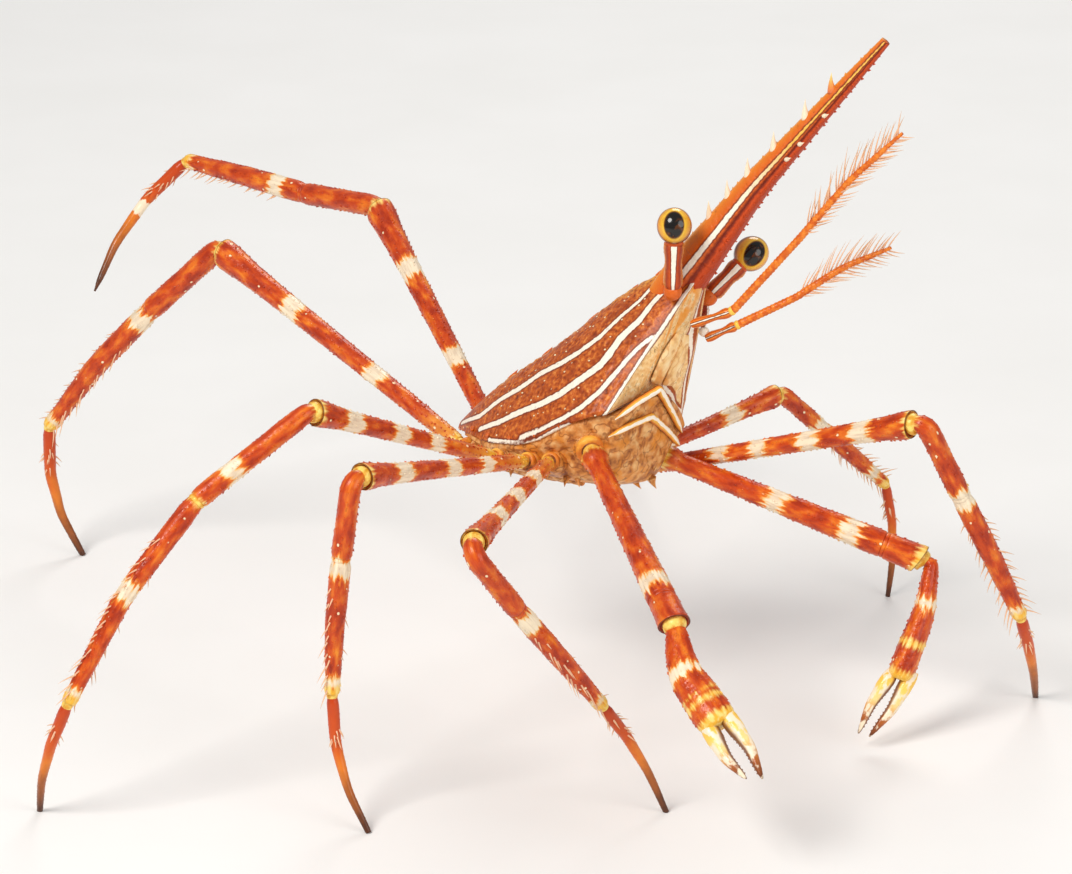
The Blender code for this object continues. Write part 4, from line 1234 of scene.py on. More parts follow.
@dataclass
class LegModel:
    """The shells, membranes and bristles of one walking leg.

    Each name_rows is an article's profile. coxa_rows and collar are the profile and the girth of what the
    thorax carries at its root. A soft part is how far it reaches from its joint and its radius. golds are how
    far the golden zones at hip, knee, ankle and, where that shows, the joint reach.
    """

    leg: Leg
    finishes: Finishes
    merus_rows: Rows = (
        (0.0, 0.62), (0.03, 0.74), (0.4, 0.88), (0.75, 1.02), (0.9, 1.18), (0.97, 1.36), (0.99, 1.38),
        (1.0, 1.34),
    )
    carpus_rows: Rows = (
        (0.0, 0.78), (0.08, 0.98), (0.2, 1.05), (0.45, 1.02), (0.85, 1.05), (0.96, 1.05), (1.0, 0.95),
    )
    propodus_rows: Rows = (
        (0.0, 0.88), (0.04, 1.0), (0.08, 1.04), (0.35, 1.02), (0.7, 0.9), (0.93, 0.78), (0.98, 0.8),
        (1.0, 0.7),
    )
    dactyl_rows: Rows = ((0.0, 0.5), (0.06, 0.62), (0.35, 0.56), (0.65, 0.44))
    raised_point: Rows = ((0.9, 0.3), (1.0, 0.1))
    standing_point: Rows = ((0.88, 0.36), (1.0, 0.3))
    coxa_rows: Rows = ((0.0, 0.85), (0.7, 0.85), (1.0, 0.72))
    collar: float = 0.76
    soft_hip: Pair = (0.5, 0.55)
    soft_knee: Pair = (0.62, 1.08)
    soft_ankle: Pair = (0.5, 0.58)
    soft_joint: Pair = (0.4, 0.94)
    golds: Row = (1.6, 0.4, 0.75, 0.25)
    lip: float = 0.1
    knee_slant: float = 0.3
    warm_length: float = 9.0
    bristle_spacing: float = 0.72
    bristle_lengths: Pair = (0.9, 1.9)
    bristle_lying: Pair = (34, 58)
    bristle_radius: float = 0.09
    root_bristles: int = 14
    root_lengths: Pair = (0.5, 1.0)

    def __post_init__(self) -> None:
        """Finds the joints on the leg's middle line, and its bands as places on it."""
        leg = self.leg
        self.path = leg.path()
        self.girth = leg.girth
        self.hip, self.hip_end = self.path.middle(0), self.path.span(0)[1]
        self.knee = self.path.span(1)[0]
        self.joint, self.ankle = self.path.middle(2), self.path.middle(4)
        self.seed = SEED + 10 * leg.number + leg.side.value
        knee = self.path.middle(1)
        self.pale = (
            *placed(self.hip, knee, leg.merus_bands),
            *placed(knee, self.ankle, leg.shin_bands),
            *placed(self.ankle, self.path.length, leg.tip_bands),
        )
        # The rear-middle legs show a golden ring at the joint between carpus and propodus.
        self.ringed = leg.number == 4
        middles = (self.hip, self.knee, self.ankle - 0.3, self.joint)
        self.gold = tuple(zip(middles, self.golds))[: 4 if self.ringed else 3]

    def shell(self, part: str, start: float, end: float, profile: Rows, teeth: int) -> None:
        """Makes one banded article with its rows of teeth.

        Args:
            part: The article's name.
            start: Where it begins on the leg's line.
            end: Where it ends.
            profile: Its profile.
            teeth: How many rows of teeth there are round it.
        """
        piece = Piece(f"{self.leg.name}_{part}_shell")
        bands = {"pale": self.pale, "gold": self.gold}
        girth = self.girth
        knee = part == "merus"

        def marks(place: np.ndarray, turn: np.ndarray, full: np.ndarray) -> Marks:
            """Amber towards the body, and a dark lip at the knee."""
            lip = place - end + self.lip if knee else np.full(place.shape, UNMARKED)
            return {"warm": np.clip(1 - (place - self.hip) / self.warm_length, 0, 1), "dark": lip}

        piece.tube(self.path, start, end, profile, girth=girth, sides=44, step=0.14, grain=0.05,
                   seed=self.seed,
                   cut=self.knee_slant * girth if knee else 0.0, hollow=knee, marks=marks, **bands)
        piece.teeth(self.path, start, end - 0.3, profile, girth, teeth, self.seed, **bands)
        if part == "propodus" and not self.ringed:
            piece.tube(self.path, self.joint - 0.5, self.joint + 0.5, BULGE, girth=girth * 0.97, sides=32,
                       step=0.1, **bands)
        piece.build(self.finishes.banded, "limb", f"{self.leg.name}_{part}")

    def build(self) -> None:
        """Makes every piece of the leg."""
        name, floor = self.leg.name, not self.leg.raised
        self.shell("merus", self.hip_end + HALF_GAP, self.knee - HALF_GAP, self.merus_rows, 7)
        self.shell("carpus", self.knee + HALF_GAP, self.joint - HALF_GAP, self.carpus_rows, 7)
        self.shell("propodus", self.joint + HALF_GAP, self.ankle - HALF_GAP, self.propodus_rows, 6)
        tip = Piece(f"{name}_dactyl_shell")
        profile = (*self.dactyl_rows, *(self.standing_point if floor else self.raised_point))
        tip.tube(self.path, self.ankle + HALF_GAP, self.path.length, profile, girth=self.girth, sides=32,
                 step=0.14, grain=0.03, seed=self.seed, floor=floor, pale=self.pale)
        tip.build(self.finishes.dactyl, "tip", f"{name}_dactyl")
        soft = Piece(f"{name}_membrane")
        rows = [(self.hip_end, self.soft_hip), (self.knee - 0.1, self.soft_knee),
                (self.ankle, self.soft_ankle)]
        if self.ringed:
            rows.append((self.joint, self.soft_joint))
        for place, (reach, radius) in rows:
            soft.tube(self.path, place - reach, place + reach, BULGE, girth=self.girth * radius, sides=28,
                      step=0.08)
        soft.build(self.finishes.membrane, "tip")
        self.setae()

    def setae(self) -> None:
        """Makes the bristles on the propodus and a few at the root of the dactyl."""
        coat = Piece(f"{self.leg.name}_setae")
        draw = np.random.default_rng(self.seed)
        start, end = self.joint + HALF_GAP, self.ankle - HALF_GAP
        first = start + 0.2 * (end - start)
        count = int((end - first) / self.bristle_spacing)
        places, turns, lengths = [], [], []
        for way in (math.pi,) if self.leg.raised else (0.0, math.pi):
            spots = np.linspace(first, end - 0.3, count) + draw.uniform(-0.2, 0.2, count)
            places.append(spots)
            turns.append(way + draw.normal(0, 0.2, count))
            growth = 0.6 + 0.4 * (spots - first) / (end - first)
            lengths.append(draw.uniform(*self.bristle_lengths, count) * growth)
        reach = self.path.length - self.ankle
        places.append(self.ankle + HALF_GAP + draw.uniform(0.1, 0.32, self.root_bristles) * reach)
        turns.append(draw.uniform(0, 2 * math.pi, self.root_bristles))
        lengths.append(draw.uniform(*self.root_lengths, self.root_bristles))
        place, turn, length = (np.concatenate(rows) for rows in (places, turns, lengths))
        radius = eased(np.array(self.propodus_rows), (place - start) / (end - start))[:, 0]
        tip_radius = eased(np.array(self.dactyl_rows), (place - self.ankle) / reach)[:, 0]
        radius = np.where(place > self.ankle, tip_radius, radius) * self.girth
        centre, tangent, normal = self.path.frames(place)
        out = normal * np.cos(turn)[:, None] + np.cross(tangent, normal) * np.sin(turn)[:, None]
        lying = np.radians(draw.uniform(*self.bristle_lying, len(place)))[:, None]
        way = tangent * np.cos(lying) + out * np.sin(lying)
        patch = np.stack((turn / (2 * math.pi) % 1, (place - start) / (self.path.length - start)), axis=1)
        coat.cones(centre + out * radius[:, None] * 0.9, way, tangent, length,
                   np.full(len(place), self.bristle_radius), BRISTLE_TAPER, patch=patch * COAT_PART)
        coat.build(self.finishes.bristle, "limb")


@dataclass(frozen=True)
class Cheliped:
    """A claw leg: its hip, arm, palm, the way its two fingers lie apart, and its bands.

    moving is the moving finger's length as a multiple of the fixed one's.
    """

    side: Side
    hip: Triple
    arm: Triple
    palm: Triple
    finger: Triple
    spread: Pair
    bow: float
    girth: float
    hand: float
    moving: float
    arm_bands: tuple[Pair, ...]
    palm_bands: tuple[Pair, ...]
    arm_gold: tuple[Pair, ...]
    palm_gold: tuple[Pair, ...]

    @property
    def name(self) -> str:
        """The name that its nodes begin with."""
        return f"cheliped_{self.side.word}"


@dataclass
class ClawModel:
    """Arm, wrist, palm and fingers of one cheliped.

    Each name_rows is an article's profile. coxa_rows and collar are the profile and the girth of what the
    thorax carries at its root. arm_share is the arm's part of the length from hip to wrist. A soft part is
    how far it reaches from its joint and its radius. The palm is flattened, and bowed at a share of its
    length. The fingers start and end so far to each side of their middle, bulge between, and are sunk in the
    palm.
    """

    limb: Cheliped
    finishes: Finishes
    arm_rows: Rows = (
        (0.0, 0.95), (0.02, 1.25), (0.05, 1.3), (0.1, 1.0), (0.4, 1.12), (0.8, 1.32), (0.96, 1.42),
        (0.99, 1.42),
        (1.0, 1.36),
    )
    wrist_rows: Rows = ((0.0, 1.36), (0.04, 1.42), (0.4, 1.44), (0.8, 1.5), (0.95, 1.56), (1.0, 1.54))
    palm_rows: Rows = (
        (0.0, 0.7), (0.04, 0.95), (0.3, 1.4), (0.6, 1.8), (0.85, 1.92), (0.92, 1.88), (0.97, 1.72),
        (1.0, 1.25),
    )
    finger_rows: Rows = (
        (0.0, 0.6), (0.14, 0.86), (0.24, 0.86), (0.38, 0.74), (0.55, 0.6), (0.72, 0.47), (0.88, 0.3),
        (0.97, 0.16),
        (1.0, 0.07),
    )
    coxa_rows: Rows = ((0.0, 1.1), (0.6, 1.15), (1.0, 0.95))
    collar: float = 1.12
    arm_share: float = 0.86
    lip: float = 0.1
    wrist_slant: float = 0.45
    warm_length: float = 7.0
    soft_hip: Pair = (0.6, 0.85)
    soft_wrist: Pair = (0.7, 1.16)
    palm_flatness: float = 0.78
    palm_bow_at: float = 0.4
    palm_bend: float = 9.0
    finger_start: float = 1.02
    finger_bulge: float = 0.16
    finger_end: float = 0.62
    finger_sunk: float = 1.3
    finger_bends: Pair = (4.0, 6.0)
    tooth_spacing: float = 0.42
    tooth_size: float = 0.12

    def __post_init__(self) -> None:
        """Finds the wrist, the fork of the fingers and the limb's middle line."""
        limb = self.limb
        self.girth = limb.girth
        palm = heading(*limb.palm[1:])
        self.bend = BODY.point(limb.hip) + heading(*limb.arm[1:]) * limb.arm[0]
        self.fork = self.bend + palm * limb.palm[0]
        self.path = limb_path(limb.hip, limb.side, [self.bend, self.fork], [KNEE_BEND])
        self.hip, self.hip_end = self.path.middle(0), self.path.span(0)[1]
        self.wrist = self.path.span(1)[0]
        self.spread = across(heading(*limb.spread), palm)
        self.seed = SEED + 3 * limb.side.value

    def shell(self, part: str, start: float, end: float, profile: Rows, bands: dict[str, tuple]) -> None:
        """Makes the arm, or the wrist with the seam between them.

        Args:
            part: The article's name.
            start: Where it begins on the limb's line.
            end: Where it ends.
            profile: Its profile.
            bands: Its named bands as places on the line.
        """
        piece = Piece(f"{self.limb.name}_{part}_shell")
        girth = self.girth
        cup = part == "wrist"

        def marks(place: np.ndarray, turn: np.ndarray, full: np.ndarray) -> Marks:
            """Amber towards the body, and a dark lip at the wrist."""
            lip = place - self.wrist + HALF_GAP + self.lip
            return {"warm": np.clip(0.7 - (place - self.hip) / self.warm_length, 0, 1), "dark": lip}

        piece.tube(self.path, start, end, profile, girth=girth, sides=48, step=0.14, grain=0.06,
                   seed=self.seed,
                   cut=self.wrist_slant if cup else 0.0, hollow=cup, marks=marks, **bands)
        piece.teeth(self.path, start, end - 0.3, profile, girth, 8, self.seed, **bands)
        if cup:
            seam = start - HALF_GAP
            piece.tube(self.path, seam - 0.5, seam + 0.5, BULGE, girth=girth * 1.36, sides=40, step=0.1,
                       **bands)
        piece.build(self.finishes.banded, "limb", f"{self.limb.name}_{part}")

    def build(self) -> None:
        """Makes every piece of the cheliped."""
        limb, wrist = self.limb, self.path.middle(1)
        seam = self.hip_end + self.arm_share * (self.wrist - self.hip_end)
        bands = {"pale": placed(self.hip, wrist, limb.arm_bands),
                 "gold": placed(self.hip, wrist, limb.arm_gold)}
        self.shell("arm", self.hip_end + HALF_GAP, seam - HALF_GAP, self.arm_rows, bands)
        self.shell("wrist", seam + HALF_GAP, self.wrist - HALF_GAP, self.wrist_rows, bands)
        self.palm()
        for word, side, start in (("fixed", 1, 0.1), ("moving", -1, 0.6)):
            self.finger(word, side, start)
        soft = Piece(f"{limb.name}_membrane")
        for place, (reach, radius) in ((self.hip_end, self.soft_hip), (self.wrist - 0.1, self.soft_wrist)):
            soft.tube(self.path, place - reach, place + reach, BULGE, girth=self.girth * radius, sides=32,
                      step=0.08)
        soft.build(self.finishes.membrane, "claw")

    def palm(self) -> None:
        """Makes the palm."""
        limb = self.limb
        middle = self.bend + (self.fork - self.bend) * self.palm_bow_at + self.spread * limb.bow
        start = self.path.at(self.wrist + JOINT_GAP)
        path = Path([start, self.bend, middle, self.fork], [KNEE_BEND, self.palm_bend], self.spread)
        bands = {
            "pale": placed(0, path.length, limb.palm_bands),
            "gold": placed(0, path.length, limb.palm_gold),
        }
        palm = Piece(f"{limb.name}_palm_shell")
        wide, deep, seed = limb.hand * self.palm_flatness, 1 / self.palm_flatness, self.seed + 1
        palm.tube(path, 0.0, path.length, self.palm_rows, girth=wide, depth=deep, sides=64, step=0.11,
                  grain=0.06,
                  seed=seed, **bands)
        palm.teeth(path, 0.0, path.length, self.palm_rows, wide, 9, seed, depth=deep, **bands)
        palm.build(self.finishes.banded, "limb", f"{limb.name}_palm")

    def finger(self, word: str, side: int, start: float) -> None:
        """Makes one finger with its row of teeth.

        Args:
            word: Which finger it is.
            side: The side of the spread that it lies on, 1 or -1.
            start: How far down its line, which begins inside the palm, its shell begins.
        """
        limb, line = self.limb, self.finger_path(side)
        made = Piece(f"{limb.name}_{word}_finger")
        made.tube(line, start, line.length, self.finger_rows, girth=limb.hand, sides=40, step=0.1, grain=0.03,
                  seed=self.seed, marks=lambda place, turn, full: {"inner": -np.cos(turn)})
        places = np.arange(2 * self.finger_sunk, line.length - 0.5, self.tooth_spacing)
        centre, tangent, normal = line.frames(places)
        radius = eased(np.array(self.finger_rows), places / line.length)[:, 0] * limb.hand
        size = np.full(len(places), self.tooth_size)
        made.cones(centre - normal * radius[:, None] * 0.94, -normal, tangent, size, size, TOOTH_TAPER,
                   inner=np.full(len(places), 1.0), limb=centre)
        made.build(self.finishes.claw, "claw", *([f"{limb.name}_finger"] if side < 0 else []))

    def finger_path(self, side: int) -> Path:
        """Draws a finger's middle line: out to its own side and back in at its point.

        Args:
            side: The side of the spread that it lies on, 1 or -1.

        Returns:
            The line, from inside the palm.
        """
        limb = self.limb
        way, length, spread = heading(*limb.finger[1:]), limb.finger[0], self.spread * side * limb.hand
        start = self.fork + spread * self.finger_start
        middle = self.fork + way * length * 0.5 + spread * (self.finger_start + self.finger_bulge)
        tip = self.fork + way * length * (limb.moving if side < 0 else 1.0) + spread * self.finger_end
        return Path([start - way * self.finger_sunk, start, middle, tip], list(self.finger_bends), spread)


@dataclass(frozen=True)
class Eye:
    """An eye: its side, its middle on the body, the way it looks, and its pupil's turn from upright."""

    side: Side
    centre: Triple
    look: Triple
    tilt: float


EYES = {
    Side.RIGHT: Eye(Side.RIGHT, (16.3, -5.6, 23.0), (-0.05, -0.94, 0.38), 0),
    Side.LEFT: Eye(Side.LEFT, (17.8, 5.6, 21.3), (0.18, -0.93, 0.32), 30),
}
# Where the stalks begin inside the carapace, and how far up them their knobs lie.
STALK_ROOT = (14.7, 2.6, 16.2)
KNOB_RISE = 0.75
# From the crab to the viewer of the pose's front, in world axes.
FORWARD = np.array((0.0, -0.94, 0.34))
# The level at which the carapace's leaning hoops cross their own place, and how far the face bulges.
LEAN_LEVEL, FACE_DOME = 6.3, 0.3


def stalk_line(side: Side) -> tuple[np.ndarray, np.ndarray, np.ndarray]:
    """Finds the line of an eye's stalk.

    Args:
        side: Which eye.

    Returns:
        The stalk's root, the eye's middle, and the way from one to the other.
    """
    along, out, up = STALK_ROOT
    root, centre = BODY.point((along, out * side.value, up)), BODY.point(EYES[side].centre)
    return root, centre, unit(centre - root)


@dataclass
class RostrumModel:
    """The long beak, its root in the carapace's shell, and its spines.

    places are its root, middle and tip on the body. rows are (distance along it, radius), stripe the same for
    the half width of its white stripe. white and groove are where stripe and groove lie, and teeth where rows
    of teeth stand, all in radians from its ridge. spines are rows of (side, lift in degrees, length, radius,
    distances along it). cut is where the carapace's part of it ends.
    """

    finishes: Finishes
    places: tuple[Triple, ...] = ((11.5, 0.0, 15.1), (21.3, 0.0, 27.4), (34.8, 0.0, 41.7))
    bend: float = 40.0
    cut: float = 7.0
    overlap: float = 0.6
    rows: Rows = (
        (0.0, 2.0), (4.5, 2.23), (9.0, 1.9), (16.0, 1.43), (25.0, 0.98), (34.8, 0.5), (36.6, 0.4),
        (38.0, 0.15),
    )
    stripe: Rows = ((0.0, 0.26), (8.0, 0.25), (14.0, 0.18), (20.0, 0.11), (27.0, 0.06), (38.0, 0.03))
    white: float = 1.93
    groove: float = 2.46
    teeth: Row = (0.42, -0.42, 2.75, -2.75)
    tooth_spacing: float = 0.9
    spines: tuple[tuple[Side, float, float, float, Row], ...] = (
    (Side.RIGHT, 44, 1.55, 0.4, (10.7, 13.5, 16.4, 20.1, 24.6, 28.3)),
    (Side.LEFT, 12, 0.9, 0.3, (11.6, 15.7, 17.6, 21.2, 25.2)),
    (Side.RIGHT, -56, 0.6, 0.22, (20.4, 22.4, 26.1)),
    )

    def __post_init__(self) -> None:
        """Draws the beak's middle line."""
        points = [BODY.point(place) for place in self.places]
        self.path = Path(points, [self.bend], BODY.way((-0.75, 0, 0.66)))

    def build(self) -> None:
        """Makes the free part of the beak and the spines."""
        beak = Piece("rostrum_shell")
        self.add_length(beak, self.cut - 0.02, self.path.length)
        beak.build(self.finishes.striped, "carapace", "rostrum")
        self.build_spines()

    def add_root(self, shell: Piece) -> None:
        """Adds the part that belongs to the carapace's shell."""
        self.add_length(shell, 0.0, self.cut + self.overlap)

    def add_length(self, piece: Piece, start: float, end: float) -> None:
        """Adds a length of the beak, with its ridge, its white stripes and its grooves.

        Args:
            piece: What it is added to.
            start: Where it begins.
            end: Where it ends.
        """
        rows, stripe = np.array(self.rows), np.array(self.stripe)
        cuts = np.linspace(start, end, 24)
        radii = eased(rows, cuts)[:, 0]
        if start == 0:
            radii[cuts > self.cut] *= 0.9
        profile = tuple(((c - start) / (end - start), r) for c, r in zip(cuts, radii))

        def shape(place: np.ndarray, turn: np.ndarray) -> np.ndarray:
            """A keel on the ridge, a soft edge above the stripe and a groove below it."""
            angle = turned(turn)
            keel = 0.16 * swell(angle, 0, 0.3) + 0.06 * swell(angle, 0.85, 0.3)
            return 1 + keel - 0.13 * swell(angle, self.groove, 0.14)

        def marks(place: np.ndarray, turn: np.ndarray, full: np.ndarray) -> Marks:
            """The white stripe of each side, and the share of the way from ridge to underside."""
            angle = turned(turn)
            half = np.interp(place, stripe[:, 0], stripe[:, 1])
            far = np.clip((place - 13) / 9, 0, 1)
            return {"stripe": half - np.abs(angle - self.white) * full, "beak": angle / math.pi, "far": far}

        piece.tube(self.path, start, end, profile, depth=0.98, sides=72, step=0.13, grain=0.03, shape=shape,
                   marks=marks)
        draw = np.random.default_rng(SEED)
        for angle in self.teeth:
            places = np.arange(start + 0.9, end - 0.7, self.tooth_spacing)
            places = places + draw.uniform(-0.35, 0.35, len(places))
            centre, tangent, normal = self.path.frames(places)
            out = normal * math.cos(angle) + np.cross(tangent, normal) * math.sin(angle)
            tall = draw.uniform(0.08, 0.2, len(places))
            piece.cones(centre + out * eased(rows, places), unit(out + tangent * 0.6), tangent, tall,
                        tall * 0.8,
                        TOOTH_TAPER, beak=np.full(len(places), abs(angle) / math.pi))

    def build_spines(self) -> None:
        """Makes the row of spines up each side of the beak."""
        thorns = Piece("rostrum_spines")
        for side, lift, length, width, spots in self.spines:
            places = np.array(spots)
            centre, tangent, normal = self.path.frames(places)
            out = np.cross(tangent, normal)
            out = out * np.sign(out @ BODY.way((0, 1, 0)))[:, None] * side.value
            radius = eased(np.array(self.rows), places)[:, 0][:, None]
            lifted = out * math.cos(math.radians(lift)) + normal * math.sin(math.radians(lift))
            way = unit(lifted + tangent * 0.85)
            thorns.cones(centre + lifted * radius * 0.9, way, tangent, np.full(len(places), length),
                         np.full(len(places), width), SPINE_TAPER, sides=14, limb=centre)
        thorns.build(self.finishes.spine, "tip")


@dataclass
class CarapaceModel:
    """The back, its striped flanks and the beige face.

    hoops are rows of (along, forward lean, top, half width, lower edge, lower middle, roundness). stripes are
    each flank's white stripes as rows of (along, up, half width). insets are how far the rings of the face
    lie from its middle, as shares, and tail_shares the same for the tail end. ridge_spines are rows of (along,
    length), edge_spines places along the lower edges. column is the middle line of the rod beside the face.
    """

    finishes: Finishes
    rostrum: RostrumModel
    hoops: Rows = (
    (-11.3, 0.0, 2.9, 0.6, 2.0, 2.0, 0.7),
    (-9.0, 0.0, 4.9, 2.3, 1.7, 1.5, 0.7),
    (-6.0, 0.0, 7.2, 4.2, 1.2, 0.9, 0.6),
    (-3.0, 0.0, 9.1, 5.6, 0.9, 0.7, 0.6),
    (0.0, 0.0, 11.0, 6.5, 0.9, 0.7, 0.6),
    (3.0, 0.05, 13.5, 7.0, 1.4, 1.2, 0.55),
    (6.0, 0.15, 16.6, 7.2, 2.6, 2.4, 0.45),
    (8.4, 0.28, 18.8, 7.1, 3.6, 4.2, 0.35),
    (10.2, 0.36, 19.6, 6.8, 4.2, 6.0, 0.25),
    (11.4, 0.40, 19.6, 6.3, 4.5, 7.3, 0.15),
)
    stripes: tuple[Rows, ...] = (
    ((12.0, 18.0, 0.13), (11.7, 17.6, 0.14), (10.7, 15.8, 0.15), (9.0, 14.0, 0.19), (7.4, 12.0, 0.22),
     (5.4, 10.4, 0.25),
     (3.1, 9.1, 0.27), (0.6, 8.0, 0.27), (-1.7, 6.45, 0.27), (-4.4, 5.15, 0.25), (-7.0, 3.4, 0.22),
     (-10.8, 2.6, 0.16)),
    ((13.1, 16.8, 0.22), (12.2, 15.3, 0.26), (11.6, 13.9, 0.3), (10.05, 12.0, 0.36), (9.4, 10.4, 0.4),
     (8.7, 9.2, 0.38),
     (6.8, 7.7, 0.34), (4.7, 6.15, 0.32), (2.3, 5.0, 0.3), (-0.3, 4.1, 0.28), (-2.95, 3.0, 0.25),
     (-6.2, 2.1, 0.2)),
    ((13.4, 12.4, 0.17), (12.4, 11.3, 0.18), (11.7, 10.3, 0.2), (11.0, 9.1, 0.22), (10.3, 7.9, 0.24),
     (9.5, 6.6, 0.25),
     (7.85, 4.95, 0.25), (5.7, 3.64, 0.22), (3.4, 2.6, 0.2), (0.85, 1.75, 0.16)),
)
    insets: Row = (0.985, 0.965, 0.94, 0.9, 0.85, 0.79, 0.72, 0.64, 0.55, 0.45, 0.34, 0.22, 0.1)
    tail_shares: Row = (0.35, 0.7, 0.92)
    tail_end: float = -11.3
    front_end: float = 11.4
    ridge_spines: Rows = (
        (-9.4, 0.5), (-7.6, 0.5), (-5.6, 0.95), (-3.8, 0.45), (-1.6, 0.95), (0.4, 0.4), (1.8, 0.5),
        (3.2, 0.95),
        (5.0, 0.45), (6.5, 0.5), (8.0, 0.95), (9.6, 0.4),
    )
    edge_spines: Row = (-7.6, -4.4, -0.8, 2.6, 5.6)
    edge_spine_length: float = 0.62
    knob_radius: float = 0.9
    bead: Triple = (14.4, 3.6, 13.4)
    bead_radius: float = 0.52
    column: tuple[Triple, ...] = ((14.35, 3.5, 13.7), (14.4, 3.3, 16.4), (14.1, 2.7, 19.2))
    column_rows: Rows = ((0.0, 0.5), (0.3, 1.0), (0.7, 0.9), (1.0, 0.4))
    column_radius: float = 0.46
    grain: float = 0.12
    grain_cell: float = 0.85

    def __post_init__(self) -> None:
        """Reads the hoops as an array."""
        self.table = np.array(self.hoops)

    def sections(self, along: np.ndarray, turns: int = 44, under: int = 12) -> np.ndarray:
        """Finds hoops of the back.

        Args:
            along: Their places along the body.
            turns: Points on each flank.
            under: Points on each half of the underside.

        Returns:
            Body places as (hoop, place round it, xyz), from the ridge down the right and up the left.
        """
        lean, top, half, low_edge, low_middle, roundness = (v[:, None] for v in eased(self.table, along).T)
        angle = np.linspace(0, math.pi / 2, turns)[None, :]
        share = np.cos(angle)
        out = (1 - share) + (np.sin(angle) - (1 - share)) * roundness
        level = low_edge + (top - low_edge) * share
        inward = np.linspace(0.97, 0, under)[None, :]
        out = np.concatenate((out, inward + 0 * top), axis=1)
        level = np.concatenate((level, low_middle + (low_edge - low_middle) * inward + 0 * top), axis=1)
        right = np.stack((-out * half, level), axis=-1)
        left = right[:, -2:0:-1] * (-1, 1)
        ring = np.concatenate((right, left), axis=1)
        place = np.asarray(along)[:, None] + lean * (ring[..., 1] - LEAN_LEVEL)
        return np.concatenate((place[..., None], ring), axis=-1)

    def stripe(self, places: np.ndarray) -> np.ndarray:
        """Measures places against the white stripes of the flanks.

        Args:
            places: Body places.

        Returns:
            How far inside a stripe each lies.
        """
        best = np.full(len(places), UNMARKED)
        for stripe in self.stripes:
            rows = np.array(stripe)
            for start, end in zip(rows, rows[1:]):
                way = end[:2] - start[:2]
                share = np.clip((places[:, (0, 2)] - start[:2]) @ way / (way @ way), 0, 1)
                gap = places[:, (0, 2)] - start[:2] - share[:, None] * way
                half = start[2] + (end[2] - start[2]) * share
                best = np.maximum(best, half - np.linalg.norm(gap, axis=1))
        return best

    def build(self) -> None:
        """Makes the carapace with the knobs, the bead, the column, the beak's root and the spines."""
        shell = Piece("carapace_shell")
        self.add_skin(shell)
        for side in Side:
            root, _, way = stalk_line(side)
            shell.ball(root + way * KNOB_RISE, self.knob_radius, way, 1.0, 40, 24, beak=0.5)
        shell.ball(BODY.point(self.bead), self.bead_radius, BODY.way((0, 0, 1)), 1.0, 24, 16, stripe=0.4)
        line = Path([BODY.point(place) for place in self.column], [6.0], BODY.way((1, 0, 0)))

        def marks(place: np.ndarray, turn: np.ndarray, full: np.ndarray) -> Marks:
            """The beak's dark red, with a white line on two sides."""
            return {"beak": 0.8 + 0 * place, "stripe": 0.07 - np.abs(np.sin(turn)) * full}

        shell.tube(line, 0.0, line.length, self.column_rows, girth=self.column_radius, sides=28, step=0.1,
                   grain=0.09, marks=marks)
        self.rostrum.add_root(shell)
        self.add_spines(shell)
        shell.build(self.finishes.striped, "carapace", "carapace")

    def add_skin(self, shell: Piece) -> None:
        """Adds the back, its flanks and underside, the tail end and the face as one closed surface."""
        along = np.concatenate((np.linspace(self.tail_end, 10.9, 210), np.linspace(10.98, self.front_end, 7)))
        rings = self.sections(along)
        front, insets = rings[-1], np.array(self.insets)
        middle = front.mean(axis=0)
        face = middle + (front - middle)[None] * insets[:, None, None]
        fold = 0.16 * np.cos(face[..., 1] * 2.2) * np.clip((1 - insets) * 5, 0, 1)[:, None]
        face[..., 0] += FACE_DOME * (1 - insets**2)[:, None] + fold
        tail, shares = rings[0].mean(axis=0), np.array(self.tail_shares)[:, None, None]
        back = tail + (rings[0] - tail)[None] * shares - np.array((0.25, 0, 0)) * (1 - shares**2)
        body = np.concatenate((back, rings, face))
        inside = np.full(body.shape[:2], -0.4)
        inside[-len(insets) :] = (1 - insets)[:, None] * np.linalg.norm(front - middle, axis=1)[None, :]
        turn = np.linspace(0, 30, body.shape[1], endpoint=False)[None, :] + 0 * body[..., 0]
        run = np.concatenate((np.zeros(len(back)), along + 12, np.full(len(insets), 24.0)))[:,
                                                                                            None] + 0 * turn
        relief = granules(turn, run, 30.0, self.grain_cell, SEED) * self.grain * (inside < 0)
        outward = unit(body - np.stack((body[..., 0], 0 * turn, body[..., 2] * 0 + LEAN_LEVEL), axis=-1))
        body = body + outward * relief[..., None]
        shell.loft(BODY.point(body), **self.marks(body, inside, run))

